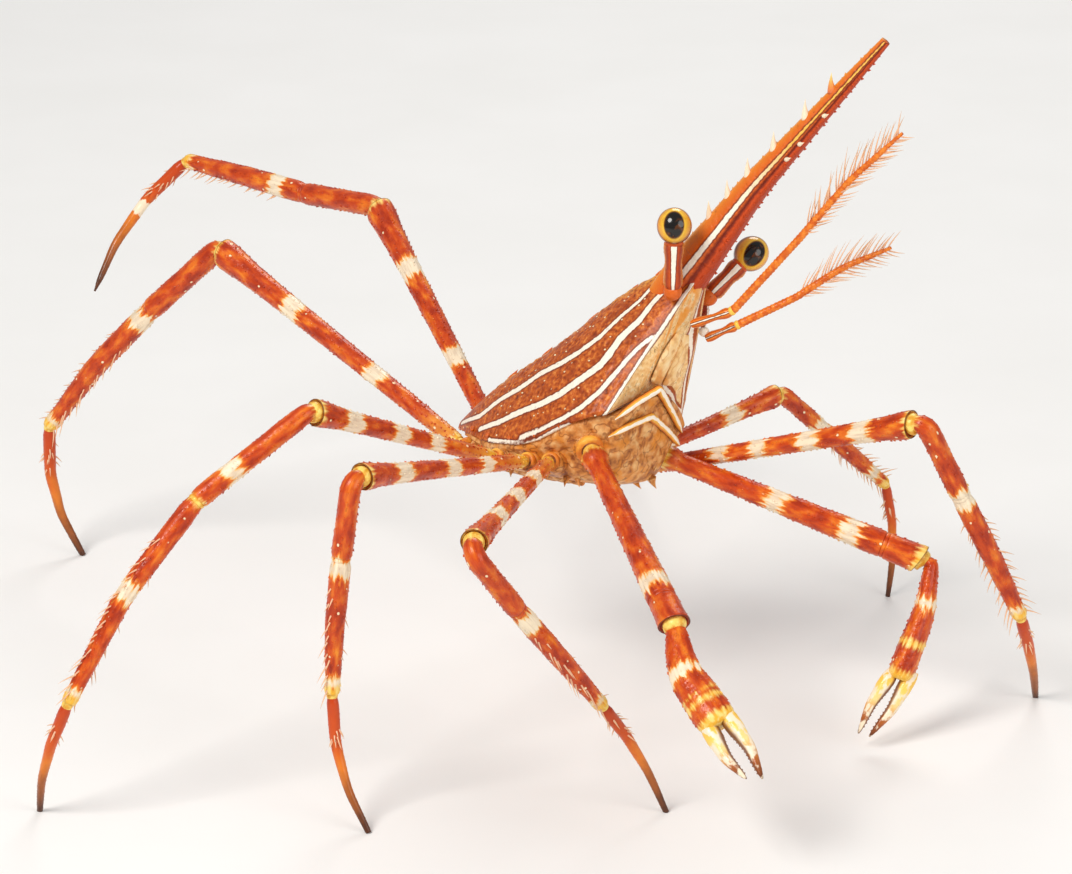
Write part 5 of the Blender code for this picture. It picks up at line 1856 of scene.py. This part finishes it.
    def marks(self, body: np.ndarray, inside: np.ndarray, run: np.ndarray) -> Marks:
        """Finds the marks of the skin.

        Args:
            body: Its places on the body, as (ring, place round it, xyz).
            inside: How far inside the face's edge they lie, below zero on the back.
            run: How far along the back they lie, from 12 behind the body's middle.

        Returns:
            The marks, each as (ring, place round it).
        """
        along, out, up = (body[..., i] for i in range(3))
        flat = body.reshape(-1, 3)
        fore, right = inside >= 0, out < 0
        stripe = self.stripe(flat).reshape(run.shape)
        stripe = np.where(fore, np.where(right, 0.12 - inside, UNMARKED), stripe)
        last = np.clip(self.front_end - run + 12, 0, 9)
        stripe = np.maximum(stripe, np.where(~fore & (up > 4.2), 0.2 - last, UNMARKED))
        low = eased(self.table, flat[:, 0])[:, 3].reshape(run.shape)
        rim = 0.17 - np.abs(up - low - 0.2) - np.maximum(0, np.abs(along - 1.5) - 5.5)
        stripe = np.maximum(stripe, np.where(fore, UNMARKED, rim))
        # ridge is a painted highlight band along the top of the back, stored as the rim mark.
        ridge = np.clip(1.1 - np.abs(np.abs(out) - 0.5) / 1.1, 0, 0.8) * (up > 6) * ~fore
        return {
            "stripe": stripe,
            "face": np.where(fore, inside - 0.1, -0.5),
            "rim": ridge,
            "near": np.where(fore, 1.5 - np.abs(out + 1.4), UNMARKED),
            "margin": np.where(fore & ~right, inside, -UNMARKED),
        }

    def add_spines(self, shell: Piece) -> None:
        """Adds the spines of the ridge and the lower edges."""
        roots, ways, lengths = [], [], []
        for along, length in self.ridge_spines:
            ring = self.sections(np.array((along,)))[0]
            roots.append(ring[0] - (0, 0, 0.1))
            ways.append((0.45, 0, 1))
            lengths.append(length)
        for side in Side:
            for along in self.edge_spines:
                row = eased(self.table, along)[0]
                roots.append((along, row[2] * 0.94 * side.value, row[3] + 0.6))
                ways.append((0.5, side.value, -0.2))
                lengths.append(self.edge_spine_length)
        count, tall = len(roots), np.array(lengths)
        ways = unit(np.array(ways, float) @ BODY.axes)
        shell.cones(BODY.point(np.array(roots)), ways, np.tile(BODY.way((1, 0, 0.3)), (count, 1)), tall,
                    0.12 + 0.25 * tall, SPINE_TAPER, sides=14, beak=np.full(count, 0.5),
                    face=np.full(count, -0.5))


@dataclass
class UndersideModel:
    """The thorax with its hip collars and chevrons, the folded tail, and the plates over the mouth.

    carapace gives the lower edge and limbs their roots. rows are the thorax as (along, half width, lowest
    level), tail_rows the flap as (along, half width), mouth_rows a mouth plate as (level, half width, half
    thickness). apex is the furthest point of the front as (along, level), slope how far the front slopes back
    below it and sweep how far to the sides. chevrons are rows of (out, up). collars are the folds round each
    limb's root as rows of (distance back from its end, length, radius, tone). seams are the levels of the
    seams between the front's plates.
    """

    carapace: CarapaceModel
    limbs: list[LegModel | ClawModel]
    finishes: Finishes
    rows: Rows = (
        (-9.4, 1.0, 0.3), (-8.0, 2.0, -0.6), (-6.0, 3.4, -1.2), (-3.0, 4.7, -1.6), (0.0, 5.2, -1.8),
        (3.0, 5.2, -2.0), (6.0, 4.8, -2.2), (8.0, 4.2, -2.1), (10.4, 4.2, -1.9), (12.2, 4.4, -1.6),
        (13.0, 3.8, -0.6),
    )
    start: float = -9.4
    end: float = 13.0
    slope_start: float = 7.0
    apex: Pair = (12.9, 7.1)
    slope: float = 0.3
    sweep: float = 0.015
    seams: Row = (6.1, 3.3, 1.2)
    chevrons: tuple[Rows, ...] = (
    ((-6.1, 4.1), (-4.2, 5.75), (-1.4, 7.45), (1.9, 5.45), (5.4, 3.5)),
    ((-6.2, 2.4), (-4.2, 3.5), (-1.2, 4.75), (2.4, 3.5), (5.9, 2.2)),
)
    chevron_rows: Rows = ((0.0, 0.2), (0.12, 0.75), (0.42, 0.9), (0.48, 1.0), (0.54, 0.9), (0.88, 0.75),
                          (1.0, 0.2))
    chevron_bends: Row = (1.0, 0.2, 1.0)
    chevron_radius: float = 0.45
    chevron_stand: float = 0.15
    collars: Rows = ((0.05, 0.8, 1.3, 0.3), (0.7, 1.9, 1.5, -2.0))
    fold_rows: Rows = ((0.0, 0.6), (0.3, 0.95), (0.7, 1.0), (0.9, 0.95), (1.0, 0.85))
    spines: Row = (-4.2, -1.8, 0.4, 2.6, 5.0, 7.2, 9.4, 11.4)
    spine_radius: float = 0.4
    tail_rows: Rows = (
        (-7.6, 1.0), (-6.4, 1.7), (-4.6, 2.1), (-2.6, 2.2), (-0.6, 2.1), (1.4, 1.8), (3.2, 1.2), (4.0, 0.6),
    )
    tail_step: float = 1.66
    mouth_rows: Rows = ((7.9, 0.7, 0.35), (8.4, 0.95, 0.5), (10.2, 0.95, 0.55), (12.0, 0.7, 0.5),
                        (12.9, 0.45, 0.3))

    def build(self) -> None:
        """Makes the underside's pieces."""
        trunk = Piece("thorax_shell")
        body = self.sections(np.linspace(self.start, self.end, 140))
        front = body[-1]
        middle = front.mean(axis=0)
        insets = np.linspace(0.97, 0.04, 26)[:, None, None]
        cap = middle + (front - middle)[None] * insets
        cap[..., 0] = self.front(cap[..., 1], cap[..., 2]) + self.plates(cap[..., 1], cap[..., 2])
        body = np.concatenate((body, cap))
        trunk.loft(BODY.point(body), ridge=np.full(body.shape[:2], UNMARKED))
        self.add_collars(trunk)
        for points in self.chevrons:
            rows = np.array(points)
            places = np.column_stack((self.front(rows[:, 0], rows[:, 1]) + self.chevron_stand, rows))
            path = Path(list(BODY.point(places)), list(self.chevron_bends), BODY.way((1, 0, 0)))
            trunk.tube(path, 0.0, path.length, self.chevron_rows, girth=self.chevron_radius, sides=32,
                       step=0.1,
                       grain=0.04, marks=lambda place, turn, full: {"ridge": np.cos(turn)})
        self.add_spines(trunk)
        trunk.build(self.finishes.under, "belly", "thorax")
        self.tail()
        for side in Side:
            self.mouth_plate(side)

    def front(self, out: np.ndarray, level: np.ndarray) -> np.ndarray:
        """How far along the body the thorax's front lies: it slopes back downwards and to both sides."""
        apex, apex_level = self.apex
        return apex - self.slope * (apex_level - level) - self.sweep * out**2

    def plates(self, out: np.ndarray, level: np.ndarray) -> np.ndarray:
        """Finds the relief of the sternum's plates: seams that follow the chevrons, and low bosses.

        Args:
            out: Places out from the middle.
            level: Their levels.

        Returns:
            How far each place stands out of the front.
        """
        drop = level + np.abs(out) * 0.55
        seams = sum(swell(drop, place, 0.12) for place in self.seams)
        return 0.1 * (np.cos(out * 1.9) * np.cos(drop * 1.6)) - 0.16 * seams

    def sections(self, along: np.ndarray) -> np.ndarray:
        """Finds hoops of the thorax: its top is inside the carapace, its sides slope in under it.

        Args:
            along: Their places along the body.

        Returns:
            Body places as (hoop, place round it, xyz).
        """
        rows = eased(np.array(self.rows), along)
        half, low = rows[:, :1], rows[:, 1:2]
        wide, edge, centre = (eased(self.carapace.table, along)[:, i][:, None] for i in (2, 3, 4))
        lift = np.clip((11.5 - along) / 4, 0, 1)[:, None] * 0.75 - 0.15
        inner = np.clip((10.0 - along) / 3, 0, 1)[:, None] * 0.04 + 0.9
        table = (
            (0 * wide, centre + lift),
            (0.55 * wide, (centre + edge) / 2 + lift),
            (inner * wide, edge + lift),
            ((inner + 0.02) * wide, edge - 0.35),
            ((half + 0.5 * wide) / 1.5, (edge + low) / 2 + 0.5),
            (0.95 * half, low + 0.8),
            (0.55 * half, low + 0.15),
            (0 * wide, low + 0 * wide),
        )
        stops = np.arange(len(table), dtype=float)[:, None]
        outs, levels = (np.stack([row[i][:, 0] for row in table]) for i in (0, 1))
        curve = eased(np.concatenate((stops, outs, levels), axis=1), np.linspace(0, len(table) - 1, 57))
        out, level = curve[:, : len(along)].T, curve[:, len(along):].T
        right = np.stack((-out, level), axis=-1)
        ring = np.concatenate((right, right[:, -2:0:-1] * (-1, 1)), axis=1)
        phase = along[:, None] * 2 * math.pi / 3.1
        under = np.clip((1.2 - ring[..., 1]) / 0.8, 0, 1)
        ring[..., 1] += (0.22 * np.clip(np.cos(phase), 0.45, 1) - 0.18) * under
        side = np.clip(1.6 - np.abs(ring[..., 1] - edge + 1.6), 0, 1)
        ring[..., 0] *= 1 + 0.02 * side * np.sin(phase * 1.9 + ring[..., 1] * 2)
        place = along[:, None] + 0 * ring[..., 0]
        share = np.clip((place - self.slope_start) / (self.end - self.slope_start), 0, 1)
        sloped = self.slope_start + share * (self.front(ring[..., 0], ring[..., 1]) - self.slope_start)
        place = np.where(share > 0, sloped, place)
        return np.concatenate((place[..., None], ring), axis=-1)

    def add_collars(self, trunk: Piece) -> None:
        """Adds each limb's coxa and the folds round its socket, each fold with a painted highlight on one
        side.
        """
        for limb in self.limbs:
            end = limb.hip_end - HALF_GAP
            trunk.tube(limb.path, 0.0, end, limb.coxa_rows, girth=limb.girth, step=0.15, grain=0.05,
                       marks=lambda place, turn, full: {"ridge": 0.1 * np.cos(2 * turn)})
            for back, reach, radius, tone in self.collars:
                stop = end - back
                # The fold's tone, lifted on one side by a painted highlight, 0.35 * cos(turn - 0.6).
                trunk.tube(limb.path, stop - reach, stop, self.fold_rows,
                           girth=limb.girth * radius * limb.collar,
                           sides=40, step=0.06, grain=0.05,
                           marks=lambda place, turn, full: {"ridge": tone + 0.35 * np.cos(turn - 0.6)})

    def add_spines(self, trunk: Piece) -> None:
        """Adds the blunt spines under the thorax."""
        draw = random.Random(SEED)
        roots, ways, lengths = [], [], []
        for along in self.spines:
            half, low = eased(np.array(self.rows), along)[0][:2]
            for side in (-1, 1):
                out = side * half * draw.uniform(0.72, 0.8)
                place = along if along < self.slope_start else along - 1.5
                roots.append((place, out, low + 0.45))
                ways.append((draw.uniform(-0.3, 0.5), 0.5 * side, -1))
                lengths.append(draw.uniform(0.8, 1.3))
        count = len(roots)
        ways = unit(np.array(ways) @ BODY.axes)
        trunk.cones(BODY.point(np.array(roots)), ways, np.tile(BODY.way((1, 0, 0)), (count, 1)),
                    np.array(lengths), np.full(count, self.spine_radius), SPINE_TAPER, sides=14)

    def tail(self) -> None:
        """Makes the tail flap, folded forward under the thorax."""
        flap = Piece("abdomen_shell")
        start, end = self.tail_rows[0][0], self.tail_rows[-1][0]
        along = np.linspace(start, end, 150)
        half = eased(np.array(self.tail_rows), along) * 0.9
        low = eased(np.array(self.rows), along)[:, 1:2] - 0.04
        phase = ((along - start) / self.tail_step % 1.0)[:, None]
        thick = 0.36 + 0.1 * np.clip(phase * 1.6, 0, 1) - 0.12 * swell(phase, 0, 0.08)
        turns = np.linspace(0, math.pi, 33)[None, :]
        out = -np.cos(turns) * half
        down = low + 0.15 * np.cos(turns) ** 2 - thick * np.sin(turns) ** 0.6
        body = np.stack((along[:, None] + 0 * out, out, down), axis=-1)
        flap.loft(BODY.point(body), ridge=np.full(body.shape[:2], UNMARKED))
        flap.build(self.finishes.under, "belly", "abdomen")

    def mouth_plate(self, side: Side) -> None:
        """Makes one of the two long plates over the mouth."""
        plate = Piece(f"maxilliped_{side.word}_shell")
        level = np.linspace(self.mouth_rows[0][0], self.mouth_rows[-1][0], 60)
        half, thick = (v for v in eased(np.array(self.mouth_rows), level).T)
        front = self.carapace.table[-1]
        thick = thick * 0.55
        face = front[0] + front[1] * (level - LEAN_LEVEL) + FACE_DOME + thick * 0.5
        centre = np.stack((face, side.value * (half + 0.16), level), axis=-1)
        turns = np.linspace(0, 2 * math.pi, 40, endpoint=False)
        groove = 1 - 0.18 * swell(turns, 0, 0.35) - 0.18 * swell(turns, 2 * math.pi, 0.35)
        fore, cross = np.array((0.93, 0, -0.37)), np.array((0.0, 1.0, 0.0))
        ring = fore * (np.cos(turns) * groove)[:, None]
        wide = (np.sin(turns)[None] * half[:, None])[..., None]
        rings = centre[:, None] + ring[None] * thick[:, None, None] + cross * wide
        plate.loft(BODY.point(rings), ridge=np.full(rings.shape[:2], UNMARKED))
        plate.build(self.finishes.mouth, "mouth", f"maxilliped_{side.word}")


@dataclass
class HeadModel:
    """Eyes on their stalks, and the plumed antennae.

    antennae are the middle lines of the antennae on the body, right first: root, joint, start of the plume
    and tip. starts are how far down them their shells begin. longest are a plume's longest bristles on
    either edge.
    """

    finishes: Finishes
    eye_radius: float = 1.68
    eye_stretch: float = 1.06
    pupil: Pair = (0.9, 1.22)
    stalk_rows: Rows = ((0.0, 0.8), (0.12, 1.0), (0.6, 0.88), (0.9, 1.05), (1.0, 1.0))
    stalk_radius: float = 0.95
    cup_rows: Rows = ((0.0, 0.8), (0.25, 1.0), (0.75, 1.0), (1.0, 0.8))
    antennae: tuple[tuple[Triple, ...], ...] = (
        ((15.2, -0.9, 13.6), (20.4, -0.6, 15.4), (27.4, -0.4, 22.9), (38.4, -1.4, 33.0)),
        ((14.5, 3.5, 12.6), (17.6, 4.6, 14.3), (22.9, 6.4, 17.4), (31.6, 9.0, 22.8)),
    )
    starts: Pair = (0.9, 0.3)
    antenna_bends: Triple = (2.0, 5.0, 12.0)
    base_rows: Rows = ((0.0, 0.9), (0.15, 1.15), (0.6, 0.85), (0.9, 1.25), (1.0, 1.0))
    whip_rows: Rows = ((0.0, 1.0), (0.06, 0.95), (0.5, 0.85), (0.85, 0.68), (1.0, 0.35))
    antenna_radius: float = 0.42
    bead_radius: float = 0.47
    bristle_spacing: float = 0.42
    bristle_radius: float = 0.085
    longest: Pair = (2.8, 2.0)

    def eye(self, side: Side) -> None:
        """Makes one eye and the stalk that carries it."""
        root, centre, way = stalk_line(side)
        path = Path([root, centre], [], across(BODY.way((1, 0, 0)), way))
        start, end = KNOB_RISE + 0.45, path.length - self.eye_radius - 0.1
        stalk = Piece(f"eye_stalk_{side.word}_shell")
        middle = self.facing(path, end / 2)

        def marks(place: np.ndarray, turn: np.ndarray, full: np.ndarray) -> Marks:
            """A white stripe down the front, and the way round from it, which the finish darkens towards the
            hind side as painted shade.
            """
            angle = turned(turn, middle)
            half = np.interp(place, (start, end), (0.14, 0.28))
            return {"white": half - angle * full, "side": angle / math.pi}

        stalk.tube(path, start, end, self.stalk_rows, girth=self.stalk_radius, sides=52, step=0.1, grain=0.04,
                   marks=marks)
        stalk.tube(path, end - 0.3, end + 0.7, self.cup_rows, girth=0.9, sides=28, step=0.1)
        stalk.build(self.finishes.stalk, "limb", f"eye_stalk_{side.word}")
        self.eyeball(EYES[side], centre, way)

    @staticmethod
    def facing(path: Path, place: float) -> float:
        """The turn round a path, at a distance along it, that faces the viewer of the pose's front."""
        _, tangent, normal = path.frames(place)
        return math.atan2(FORWARD @ np.cross(tangent, normal), FORWARD @ normal)

    def eyeball(self, eye: Eye, centre: np.ndarray, way: np.ndarray) -> None:
        """Makes the eye's ball, with how far each place lies from its pupil, and how far it turns from the
        look, for painted shade towards the outline.

        Args:
            eye: The eye's design.
            centre: Its middle in the world.
            way: The way of its stalk.
        """
        ball = Piece(f"eye_{eye.side.word}_ball")
        ball.ball(centre, self.eye_radius, way, self.eye_stretch, 96, 64)
        look = unit(np.array(eye.look))
        tilt = math.radians(eye.tilt)
        level = across(np.array((1.0, 0, 0)), look)
        steep = np.cross(level, look)
        right = level * math.cos(tilt) + steep * math.sin(tilt)
        upright = steep * math.cos(tilt) - level * math.sin(tilt)
        places = np.concatenate(ball.points) - centre
        far = np.hypot(places @ right / self.pupil[0], places @ upright / self.pupil[1])
        far = np.where(places @ look > 0, far, 3.0)
        # Both values grow towards the outline as the viewer sees it; the finish paints shade there past the
        # gold ring.
        ball.values["pupil"] = [(0, (far * 0.48)[:, None])]
        ball.values["rim"] = [(0, 1 - unit(places) @ look[:, None])]
        ball.build(self.finishes.eye, "eye", f"eye_{eye.side.word}")

    def antenna(self, side: Side) -> None:
        """Makes one antenna: a jointed base, a whip and its plume."""
        index = 0 if side is Side.RIGHT else 1
        points = [BODY.point(place) for place in self.antennae[index]]
        middle = (points[2] + points[3]) / 2 + BODY.way((-0.3, 0, 0.6)) * 0.5
        path = Path([*points[:3], middle, points[3]], list(self.antenna_bends), BODY.way((-0.5, 0, 1)))
        joint = path.middle(0)
        facing = self.facing(path, joint / 2)

        def marks(place: np.ndarray, turn: np.ndarray, full: np.ndarray) -> Marks:
            """A white line along the base, and its share of the way round, which the finish darkens towards
            the back as painted shade.
            """
            angle = turned(turn, facing)
            return {"white": 0.05 - angle * full, "side": angle / math.pi}

        stem = Piece(f"antenna_base_{side.word}_shell")
        stem.tube(path, self.starts[index], joint - HALF_GAP, self.base_rows, girth=self.antenna_radius,
                  sides=28,
                  step=0.08, grain=0.03, marks=marks)
        stem.build(self.finishes.root, "limb", f"antenna_base_{side.word}")
        bead = Piece(f"antenna_{side.word}_bead")
        tangent = path.tangents(joint / 2)
        bead.ball(path.at(joint), self.bead_radius, tangent, 0.85, 28, 18)
        bead.build(self.finishes.bead, "tip")
        lash = Piece(f"antenna_{side.word}_shell")
        lash.tube(path, joint + 0.1, path.length, self.whip_rows, girth=self.antenna_radius, sides=24,
                  step=0.1,
                  grain=0.02, rings=0.42)
        lash.build(self.finishes.feeler, "limb", f"antenna_{side.word}")
        self.plume(side, path, path.middle(1) + 0.5)

    def plume(self, side: Side, path: Path, start: float) -> None:
        """Makes the bristles along both edges of an antenna.

        Args:
            side: Which antenna.
            path: Its middle line.
            start: Where on the line the plume begins.
        """
        coat = Piece(f"antenna_{side.word}_plume")
        draw = np.random.default_rng(SEED + side.value)
        end = path.length - 0.1
        count = int((end - start) / self.bristle_spacing)
        for way, longest in zip((1, -1), self.longest):
            share = (np.arange(count) + draw.uniform(0.1, 0.9, count)) / count
            centre, tangent, normal = path.frames(start + (end - start) * share)
            turn = draw.normal(0, 0.28, count)[:, None]
            out = (normal * np.cos(turn) + np.cross(tangent, normal) * np.sin(turn)) * way
            lying = np.radians(draw.uniform(34, 50, count))[:, None]
            direction = tangent * np.cos(lying) + out * np.sin(lying)
            length = longest * (0.62 + 0.38 * np.sin(math.pi * np.minimum(1.0, share * 1.1)))
            length = length * draw.uniform(0.8, 1.1, count)
            patch = np.stack((0.25 + 0.5 * (way > 0) + turn[:, 0] * 0.1, share * 0.98), axis=1)
            coat.cones(centre + out * 0.25, direction, tangent, length, np.full(count, self.bristle_radius),
                       BRISTLE_TAPER, patch=patch)
        coat.build(self.finishes.bristle, "limb")


@dataclass
class Studio:
    """Pale floor, soft lights and the camera at the photograph's angle.

    lamps are rows of (name, place, size, power, tint). reach is half the floor's width in metres. distance is
    the camera's from its target, pitch its degrees above the level.
    """

    distance: float = 500.0
    pitch: float = 20.0
    target: Triple = (0.0, 0.0, 24.0)
    focal: float = 167.9
    reach: float = 3.0
    lamps: tuple[tuple[str, Triple, float, float, Triple], ...] = (
        ("key", (-260, -300, 420), 240, 2.2, (1.0, 0.97, 0.93)),
        ("fill", (330, -320, 200), 320, 0.8, (1.0, 0.98, 0.95)),
        ("back", (80, 360, 360), 240, 0.7, (1.0, 0.98, 0.96)),
    )
    sky: Colour = (0.9, 0.92, 0.95, 1)
    sky_strength: float = 0.42

    @staticmethod
    def light(name: str, place: Triple, size: float, power: float, tint: Triple) -> None:
        """Adds a soft area light that faces the crab.

        Args:
            name: Its own name.
            place: Where it stands.
            size: How wide it is.
            power: Its power in watts.
            tint: Its colour.
        """
        lamp = bpy.data.lights.new(name, "AREA")
        lamp.shape, lamp.size, lamp.energy, lamp.color = "DISK", size * MM, power, tint
        made = bpy.data.objects.new(name, lamp)
        made.location = Vector(place) * MM
        aim = Vector((0, 0, 20)) * MM - made.location
        made.rotation_euler = aim.to_track_quat("-Z", "Y").to_euler()
        bpy.context.scene.collection.objects.link(made)

    def build(self) -> None:
        """Makes the floor, the lamps, the background and the camera."""
        mesh = bpy.data.meshes.new("floor")
        corners = [(x * self.reach, y * self.reach, 0) for x, y in ((-1, -1), (1, -1), (1, 1), (-1, 1))]
        mesh.from_pydata(corners, [], [(0, 1, 2, 3)])
        floor = bpy.data.objects.new("floor", mesh)
        g = Graph("floor_paper")
        cloud = g.noise(g.node("ShaderNodeTexCoord", {}).outputs["Object"], 40.0, 3.0)
        colour = g.mix(cloud, srgb(236, 235, 232), srgb(243, 242, 240))
        mesh.materials.append(g.finish(colour, 0.7, None, 0.0, 0.0))
        bpy.context.scene.collection.objects.link(floor)
        for row in self.lamps:
            self.light(*row)
        world = bpy.data.worlds.new("studio")
        world.use_nodes = True
        background = world.node_tree.nodes["Background"]
        background.inputs["Color"].default_value = self.sky
        background.inputs["Strength"].default_value = self.sky_strength
        bpy.context.scene.world = world
        self.camera()

    def camera(self) -> None:
        """Makes the camera."""
        lens = bpy.data.cameras.new("camera")
        lens.lens, lens.sensor_width = self.focal, 36.0
        lens.clip_start, lens.clip_end = 0.01, 10.0
        camera = bpy.data.objects.new("camera", lens)
        pitch = math.radians(self.pitch)
        away = Vector((0, -math.cos(pitch), math.sin(pitch)))
        target = Vector(self.target) - Vector(Piece.origin)
        camera.location = (target + away * self.distance) * MM
        camera.rotation_euler = (math.pi / 2 - pitch, 0, 0)
        bpy.context.scene.collection.objects.link(camera)
        bpy.context.scene.camera = camera
        bpy.context.scene.view_settings.view_transform = "Standard"


LEGS = (
    Leg(2, Side.RIGHT, (4.9, -6.9, -0.4), (34.6, -102.5, 6.6), (25.2, 38.9, -51), (13.9, 26), -0.2, 0.0, 0.8,
        0.95,
        ((0.24, 1.3), (0.47, 1.6), (0.70, 1.5)), ((0.41, 1.0), (0.955, 0.55))),
    Leg(3, Side.RIGHT, (1.9, -6.9, -0.6), (30.1, -122.8, 14.3), (22, 163, -84.2), (13.5, -43.4), 0.3, 0.2,
        1.2, 0.95,
        ((0.255, 1.1), (0.46, 1.2), (0.75, 1.3)), ((0.40, 1.0), (0.945, 0.6))),
    Leg(4, Side.RIGHT, (-1.8, -7.1, -0.5), (27.2, -133.3, 24.4), (35.3, -155.4, -45.8), (13.8, 129), 3.2, 1.1,
        0.9, 0.95,
        ((0.33, 1.0), (0.53, 1.1), (0.79, 1.2)), ((0.252, 1.0), (0.666, 1.0), (0.965, 0.6))),
    Leg(5, Side.RIGHT, (-8.2, -3.1, 0.1), (39.0, 134.1, 18.2), (30.6, 156.2, -47.5), (15.1, 10), 0.7, 0.5,
        1.3, 1.1,
        ((0.35, 1.2), (0.683, 1.2)), ((0.408, 1.1), (0.96, 0.6))),
    Leg(2, Side.LEFT, (4.0, 9.0, -0.4), (33.9, -32.5, 19), (25.1, 27.5, -62.3), (13.4, 70), 0.0, 0.1, 0.4,
        1.0,
        ((0.307, 1.0), (0.44, 1.0), (0.62, 1.1), (0.80, 1.1)), ((0.365, 1.1), (0.955, 0.6))),
    Leg(3, Side.LEFT, (1.9, 7.3, -0.7), (21.6, 34.4, 9.8), (19.8, 38.9, -42.1), (12.9, 54), 0.0, 0.0, 0.8,
        0.85,
        ((0.32, 0.9), (0.70, 1.0)), ((0.347, 1.0), (0.857, 1.0))),
    Leg(4, Side.LEFT, (-1.8, 7.1, -0.4), (27.0, 66, 20.5), (35.0, 95, -36), (13.5, 100), 2.5, 0.6, 1.0, 0.95,
        ((0.33, 1.0), (0.53, 1.1), (0.79, 1.2)), ((0.26, 1.0), (0.66, 1.0), (0.965, 0.6))),
    Leg(5, Side.LEFT, (-8.2, 3.1, 0.1), (35.4, 115.1, 28.3), (29.3, 136.4, -2.3), (17.2, -155, -50.5), -0.5,
        0.1, 1.7, 1.1,
        ((0.364, 1.2), (0.722, 1.2)), ((0.50, 1.1), (0.97, 0.5)), ((0.4, 0.8),)),
)
CHELIPEDS = (
    Cheliped(Side.RIGHT, (8.0, -5.2, 1.6), (27.6, -72.3, -19), (11.0, -63.7, -35.9), (6.6, -56, -32), (9, 23),
             -1.1, 1.0, 1.0, 0.9,
             ((0.787, 0.95),), ((0.44, 0.6),), ((0.04, 0.8),), ((0.69, 0.1), (0.77, 0.28), (1.02, 1.1))),
    Cheliped(Side.LEFT, (8.2, 4.9, 1.5), (29.8, -14.1, -18.2), (11.7, -127, -62), (6.4, -146, -50), (-6, -16),
             0.6, 0.94, 0.88, 1.0,
             ((0.449, 1.0), (0.723, 1.0)), ((0.36, 0.55),), ((0.04, 0.8), (0.972, 0.75)),
             ((0.7, 0.35), (1.02, 1.1))),
)


def main() -> None:
    """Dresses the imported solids."""
    logging.basicConfig(level=logging.INFO, format="%(name)s: %(message)s")
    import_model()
    low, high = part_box("eye_right")
    centre = [(a + b) / 2 / MM for a, b in zip(low, high)]
    Piece.origin = (BODY.point(EYES[Side.RIGHT].centre) - np.array(centre)) * (1, 1, 0)
    log.info("origin %s", Piece.origin.round(3))
    finishes = Finishes()
    limbs = [LegModel(leg, finishes) for leg in LEGS] + [ClawModel(limb, finishes) for limb in CHELIPEDS]
    for limb in limbs:
        limb.build()
    rostrum = RostrumModel(finishes)
    carapace = CarapaceModel(finishes, rostrum)
    carapace.build()
    rostrum.build()
    UndersideModel(carapace, limbs, finishes).build()
    head = HeadModel(finishes)
    for side in Side:
        head.eye(side)
        head.antenna(side)
    Studio().build()


if __name__ == "__main__":
    main()
